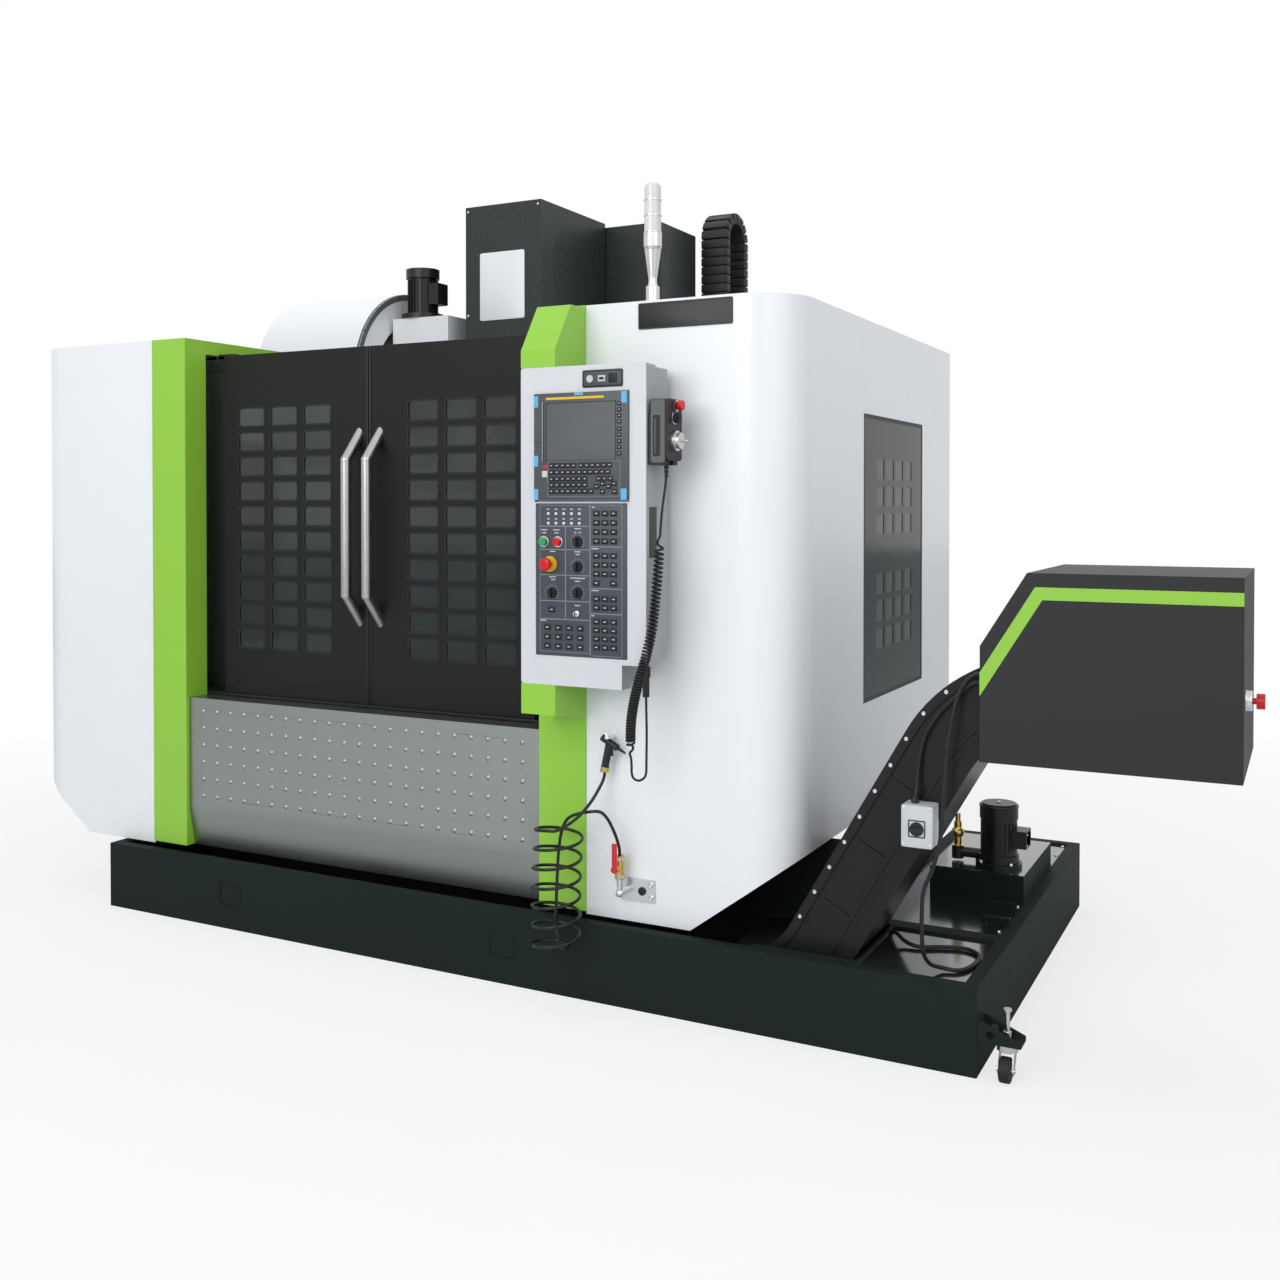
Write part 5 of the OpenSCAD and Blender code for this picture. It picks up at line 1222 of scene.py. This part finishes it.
@dataclass
class Pendant:
    """Hand-held unit on the operator box, with its coiled cord."""

    body: str = "operator_box"
    route: tuple[Triple, ...] = (
        (1295, -132, 1670), (1295, -132, 1650), (1294, -136, 1600), (1292, -150, 1540), (1290, -159, 1478),
        (1290, -172, 1380), (1288, -186, 1280), (1284, -200, 1190), (1270, -210, 1110), (1246, -206, 1040),
        (1222, -196, 970), (1204, -182, 900), (1194, -166, 830), (1190, -152, 770), (1190.5, -151.5, 745),
        (1195, -147, 729), (1206.5, -136, 722), (1218, -125, 729), (1222.6, -120.4, 745), (1223, -120, 770),
        (1224, -120, 850), (1223, -120, 920), (1222, -120, 970))
    coil_span: Pair = (0.16, 0.735)
    coil_ramp: float = 0.06
    coil_r: float = 12.0
    cord_r: float = 3.6

    def build(self, machine: Machine) -> None:
        """Builds the pendant, its relief and its cord."""
        machine.dress_all(("pendant_body", Look.PLASTIC, 4.0), ("pendant_wheel", Look.SATIN, 1.0),
                          ("pendant_knob", Look.PLASTIC, 1.0), ("pendant_button", Look.RED, 2.5))
        low, high = machine.box("pendant_body")
        form = Form(Look.PLASTIC)
        for k in range(4):
            wide = 8.5 - k
            form.lathe((1295, -132, 1658 - 12 * k), (0, 0, 1), [(5.2, 0), (wide, 1), (wide, 8), (5.2, 9)], 18)
        form.use(Look.BOLT)
        form.lathe((high.x, -132, 1795), (1, 0, 0), [(19, 0), (19, 1.2), (17, 2), (16, 0)], 30)
        form.lathe((high.x, -118, 1832), (1, 0, 0), [(17, 0), (17, 1.6), (15, 2.4), (9, 2.4)], 30)
        form.use(Look.HOLDER).collar(rounded((low.x + 1, low.z + 4), (high.x - 8, high.z - 3), 9),
                                     rounded((low.x + 8, low.z + 22), (high.x - 22, high.z - 48), 6),
                                     Axis.Y, low.y - 2.4, low.y + 1)
        form.box((low.x + 12, low.y - 1.2, low.z + 30), (low.x + 16, low.y + 1, high.z - 56), 0.6)
        machine.place("pendant_trim", form, self.body)
        pitch: Callable[[float], float] = lambda share: 14.5 - 5.5 * min(1.0, share * 1.6)
        line = coil(smooth_route(self.route, 10), self.coil_r, self.coil_span, self.coil_ramp, pitch)
        machine.cord("pendant_coil_cord", line, self.cord_r, Look.RUBBER, self.body, "pendant_cord", "medium",
                     "hanging")


@dataclass
class AirStation:
    """Blow gun on its hook, coiled hose and ball valve."""

    rise: tuple[Triple, ...] = (
        (1090, -40, 462), (1088, -42, 490), (1078, -50, 530), (1062, -60, 570), (1046, -68, 592),
        (1030, -74, 598), (1005, -84, 596), (970, -94, 588), (938, -100, 570), (920, -104, 530),
        (914, -112, 470), (918, -128, 390), (924, -144, 310), (926, -152, 255))
    foot: Triple = (930, -156, 180)
    top: Triple = (912, -103, 552)
    drop: tuple[Triple, ...] = (
        (985, -124, 582), (1012, -84, 626), (1030, -48, 678), (1035, -38, 704), (1035, -38, 714.8))
    brass_z: float = 733.0
    steel_z: float = 389.0
    turns: float = 6.8
    last_turn: float = -62.0
    coil_r: float = 74.0
    hose_r: float = 5.0

    def build(self, machine: Machine) -> None:
        """Builds the air supply."""
        brass: Test = lambda middle, normal: middle.z < self.brass_z
        steel: Test = lambda middle, normal: middle.z < self.steel_z
        machine.dress("air_gun", Look.PLASTIC, 1.5, [(brass, Look.BRASS)])
        machine.dress("gun_trigger", Look.PLASTIC, 1.2)
        machine.dress("valve_body", Look.BRASS, 1.0, [(steel, Look.BOLT)])
        machine.dress("valve_lever", Look.RED_DIP, 2.0)
        form = Form(Look.BOLT)
        form.stamp(cap_screw(8, 6), [(1180, -6, 332), (1180, -6, 372)])
        plug = [(13, 0), (13, 3), (8, 4), (7, 1), (0, 1)]
        form.use(Look.PLASTIC).lathe((1150, -6, 350), (0, -1, 0), plug, 24)
        form.use(Look.SATIN)
        for z in (394, 448):
            form.lathe((1090, -40, z), (0, 0, 1), [(10, 0), (17, 0.5), (17, 10), (10, 10.5)], 6)
        machine.place("valve_fittings", form, "frame")
        line = smooth_route([*self.rise, *self.spiral(), *self.drop], 4)
        machine.cord("air_coil_hose", line, self.hose_r, Look.HOSE, "frame", "air_hose", "stiff", "hanging")

    def spiral(self) -> list[Vector]:
        """Coarse points of the coil, from its opening turn at the foot up to the top."""
        foot, top = Vector(self.foot), Vector(self.top)
        count = round(self.turns * 12)
        points = []
        for k in range(count + 1):
            turn = math.radians(self.last_turn - (count - k) * 30)
            opened = min(1.0, (k + 1.5) / 6)
            rise = max(0.0, k - 3) / (count - 3)
            middle = foot.lerp(top, rise) + Vector((0, -8 * math.sin(math.pi * rise), 12 * (1 - opened)))
            points.append(middle + self.coil_r * opened * Vector((math.cos(turn), math.sin(turn), 0)))
        return points


@dataclass
class Tanks:
    """Chip tank, coolant tank, pump and caster."""

    splash_low: Triple = (1000.0, 375.5, 200.0)
    splash_high: Triple = (1696.0, 378.5, 484.0)
    rim_z: float = 242.0
    bolt_z: float = 234.0
    bolt_pitch: int = 140
    lift_plates: tuple[float, ...] = (-556.0, 620.0)
    pump_middle: Pair = (2045.0, 880.0)

    def build(self, machine: Machine) -> None:
        """Dresses the tanks and adds the splash sheet, bolts, lift plates and pump details."""
        splash = Form(Look.TANK).box(self.splash_low, self.splash_high, 0.8)
        machine.place("rear_splash_sheet", splash, "frame")
        cover: Test = lambda middle, normal: (normal.z > 0.9 and 200 < middle.z < 340
                                              and abs(middle.z - self.rim_z) > 4)
        for node in ("chip_tank", "coolant_tank"):
            machine.dress(node, Look.TANK, 1.5, [(cover, Look.TANK_TOP)])
        brass: Test = lambda middle, normal: middle.x < 1975 and middle.z > 378
        machine.dress("coolant_pump", Look.BLACK, 1.5, [(brass, Look.BRASS)])
        machine.dress_all(("caster_fork", Look.SATIN, 0.8), ("caster_wheel", Look.TYRE, 5.0))
        self.bolts(machine)
        self.pump(machine)

    def bolts(self, machine: Machine) -> None:
        """Cover bolts and framed lift plates on the tanks."""
        front = machine.box("chip_tank")[0].y
        form = Form(Look.BLACK)
        for x in self.lift_plates:
            outer, inner = rounded((x - 3, 82), (x + 101, 168), 8), rounded((x + 2, 87), (x + 96, 163), 6)
            form.use(Look.TANK).collar(outer, inner, Axis.Y, front - 1.5, front + 1)
            spots = [(x + a, front + 1.5, z) for a in (12, 86) for z in (98, 152)]
            form.stamp(cap_screw(4.5, 3, Look.BLACK), spots)
        dome = Form(Look.BOLT).lathe((0, 0, 0), (0, 0, 1), [(7, 0), (7, 2), (5.5, 4.5), (3, 5), (0, 5)], 14)
        edge = machine.box("coolant_tank")[1].x - 54
        form.stamp(dome, [(edge, y, self.bolt_z) for y in range(470, 1600, self.bolt_pitch)])
        form.stamp(dome, [(x, 1586, self.bolt_z) for x in range(1780, 2100, self.bolt_pitch)])
        machine.place("tank_bolts", form, "frame")

    def pump(self, machine: Machine) -> None:
        """Fan cowl lip, bolts and terminal box lid."""
        low, high = machine.box("coolant_pump")
        x, y = self.pump_middle
        cowl = [(63.5, 0), (64.5, 1), (64.5, 5), (62, 7), (57, 7), (56, 4)]
        form = Form(Look.BLACK).lathe((x, y, high.z - 12), (0, 0, 1), cowl, 48)
        form.use(Look.BOLT).lathe((x, y, high.z), (0, 0, 1), [(7, 0), (7, 3), (4, 4), (0, 4)], 12)
        form.use(Look.BLACK).box((high.x - 3, y - 34, low.z + 74), (high.x, y + 34, low.z + 124), 1.0)
        sideways, up = Matrix.Rotation(math.radians(90), 3, "Z"), Matrix.Rotation(math.radians(-90), 3, "X")
        lid = [(high.x, y + side, low.z + z) for side in (-27, 27) for z in (81, 117)]
        form.stamp(cap_screw(4, 2.5), lid, sideways)
        turns = [math.radians(45 + 90 * k) for k in range(4)]
        ring = [(x + 69 * math.cos(turn), y + 69 * math.sin(turn), low.z + 14) for turn in turns]
        form.stamp(cap_screw(7, 8), ring, up)
        machine.place("pump_details", form, "frame")


@dataclass
class Conveyor:
    """Chip conveyor with its hood, isolator and cable."""

    angle: float = 60.0
    cable: tuple[Triple, ...] = (
        (2178.8, 5, 1080), (2168, 5, 1080), (2142, -2, 1060), (2120, -8, 1012), (2106, -16, 940),
        (2096, -22, 860), (2090, -26, 780), (2086, -28, 700), (2080, -32, 620), (2062, -34, 548),
        (2036, -34, 480), (2030, -30, 420), (2028, -22, 350), (2030, -8, 296), (2040, 20, 262),
        (2062, 50, 246), (2105, 60, 240.6), (2128, 95, 240.6), (2138, 150, 240.6), (2130, 215, 240.6),
        (2085, 250, 240.6), (2020, 235, 240.6), (1960, 205, 241), (1915, 215, 247), (1880, 240, 260),
        (1863, 249, 256), (1859, 250, 246), (1859, 250, 234.2))
    branch: tuple[Triple, ...] = (
        (2004, -8, 714.2), (2004, -8, 724), (2006, 4, 760), (2010, 12, 830), (2026, 13, 900), (2066, 11, 965),
        (2114, 9, 1015), (2152, 7, 1050), (2168, 6, 1057), (2178.8, 6, 1057))
    cable_r: float = 6.0
    hood_foot_z: float = 1158.0
    slant_run: float = 125.0
    stripe_inset: float = 38.0
    stripe_w: float = 34.0
    neck: float = 16.0

    def build(self, machine: Machine) -> None:
        """Builds the conveyor."""
        neck_x = machine.box("conveyor_hood")[1].x - self.neck + 0.5
        neck: Test = lambda middle, normal: middle.x > neck_x
        machine.dress("conveyor_trough", Look.TROUGH, 1.2)
        machine.dress("conveyor_hood", Look.HOOD, 2.5, [(neck, Look.BOLT)])
        machine.dress_all(("conveyor_button", Look.RED, 2.0), ("switch_box", Look.GREY_PLASTIC, 3.0),
                          ("switch_knob", Look.PLASTIC, 1.5))
        self.stripe(machine)
        self.bolts(machine)
        self.switch(machine)
        for name, route, lay in (("isolator_cable", self.cable, "loose"),
                                 ("isolator_branch", self.branch, "hanging")):
            line = smooth_route(route, 6)
            machine.cord(name, line, self.cable_r, Look.RUBBER, "frame", "switch_cable", "medium", lay)

    def stripe(self, machine: Machine) -> None:
        """Green band along the hood's slanted and top edges."""
        low, high = machine.box("conveyor_hood")
        right = high.x - self.neck - 0.4
        slant = math.atan2(high.z - self.hood_foot_z, self.slant_run)
        near, far = self.stripe_inset, self.stripe_inset + self.stripe_w

        def corner(inset: float) -> Pair:
            """Corner of the line at an inset from the slanted and the top edge."""
            z = high.z - inset
            return low.x + (z - self.hood_foot_z) / math.tan(slant) + inset / math.sin(slant), z

        def foot(inset: float) -> Pair:
            """Foot of the slanted line on the hood's left edge."""
            return low.x + 0.4, self.hood_foot_z - inset / math.sin(slant) * math.tan(slant)

        outline = [foot(near), foot(far), corner(far), (right, high.z - far), (right, high.z - near),
                   corner(near)]
        form = Form(Look.GREEN_FILM).plate(outline, Axis.Y, low.y - 0.5, low.y, 0.0)
        machine.place("hood_stripe", form, "frame")

    def bolts(self, machine: Machine) -> None:
        """Bright bolts along the upper flange."""
        run = Vector((math.cos(math.radians(self.angle)), 0, math.sin(math.radians(self.angle))))
        across = Vector((-run.z, 0, run.x))
        foot = Vector((1713.0, 22.0, 260.0)) + across * 89
        spots = [foot + run * d for d in range(40, 690, 90)]
        bend, radius = Vector((2370.0, 22.0, 677.0)), 450.0
        for degrees in (141.1, 129.6, 118.2):
            turn = math.radians(degrees)
            spots.append(bend + radius * Vector((math.cos(turn), 0, math.sin(turn))))
        form = Form(Look.BOLT).stamp(cap_screw(6.5, 5), spots)
        machine.place("conveyor_bolts", form, "frame")

    def switch(self, machine: Machine) -> None:
        """Lid screws, dial frame and glands of the isolator box."""
        low, high = machine.box("switch_box")
        lid = rounded((low.x + 1.5, low.z + 1.5), (high.x - 1.5, high.z - 1.5), 5)
        form = Form(Look.GREY_PLASTIC).plate(lid, Axis.Y, low.y - 1.6, low.y, 0.7)
        x, z = (low.x + high.x) / 2, (low.z + high.z) / 2 - 6
        outer = rounded((x - 24, z - 24), (x + 24, z + 24), 3)
        inner = rounded((x - 21, z - 21), (x + 21, z + 21), 2)
        form.use(Look.PLASTIC).collar(outer, inner, Axis.Y, low.y - 2.4, low.y - 1)
        spots = [(a, low.y - 1.6, b) for a in (low.x + 8, high.x - 8) for b in (low.z + 8, high.z - 8)]
        form.stamp(cap_screw(3.6, 1.2), spots)
        x, y, _ = self.branch[0]
        form.use(Look.PLASTIC).lathe((x, y, high.z), (0, 0, 1), [(11, 0), (11, 9), (10, 15), (6.2, 18)], 18)
        machine.place("isolator_details", form, "frame")


@dataclass
class SignalLamp:
    """Lamp on a short stem."""

    stem: Pair = (1168.0, 30.0)
    lens_z: float = 2382.0
    bands: tuple[float, ...] = (2378.0, 2428.0, 2476.0)

    def build(self, machine: Machine) -> None:
        """Dresses the lamp and adds its bands."""
        lens: Test = lambda middle, normal: middle.z > self.lens_z
        machine.dress("signal_tower", Look.SATIN, 0.4, [(lens, Look.LENS)])
        form = Form(Look.SATIN)
        for z in self.bands:
            form.lathe((*self.stem, z), (0, 0, 1), [(26, 0), (27.6, 0.6), (27.6, 4), (26, 4.6)], 36)
        machine.place("lamp_bands", form, "frame")


def main() -> None:
    """Builds the machine and the studio round it."""
    logging.basicConfig(level=logging.INFO, format="%(message)s")
    machine = Machine(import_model())
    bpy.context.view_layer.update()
    Studio().build(machine)
    for assembly in (Castings(), Enclosure(), Doors(), Head(), Magazine(), OperatorPanel(), Pendant(),
                     AirStation(), Tanks(), Conveyor(), SignalLamp()):
        assembly.build(machine)
    LOG.info("%d pieces", machine.count)


if __name__ == "__main__":
    main()
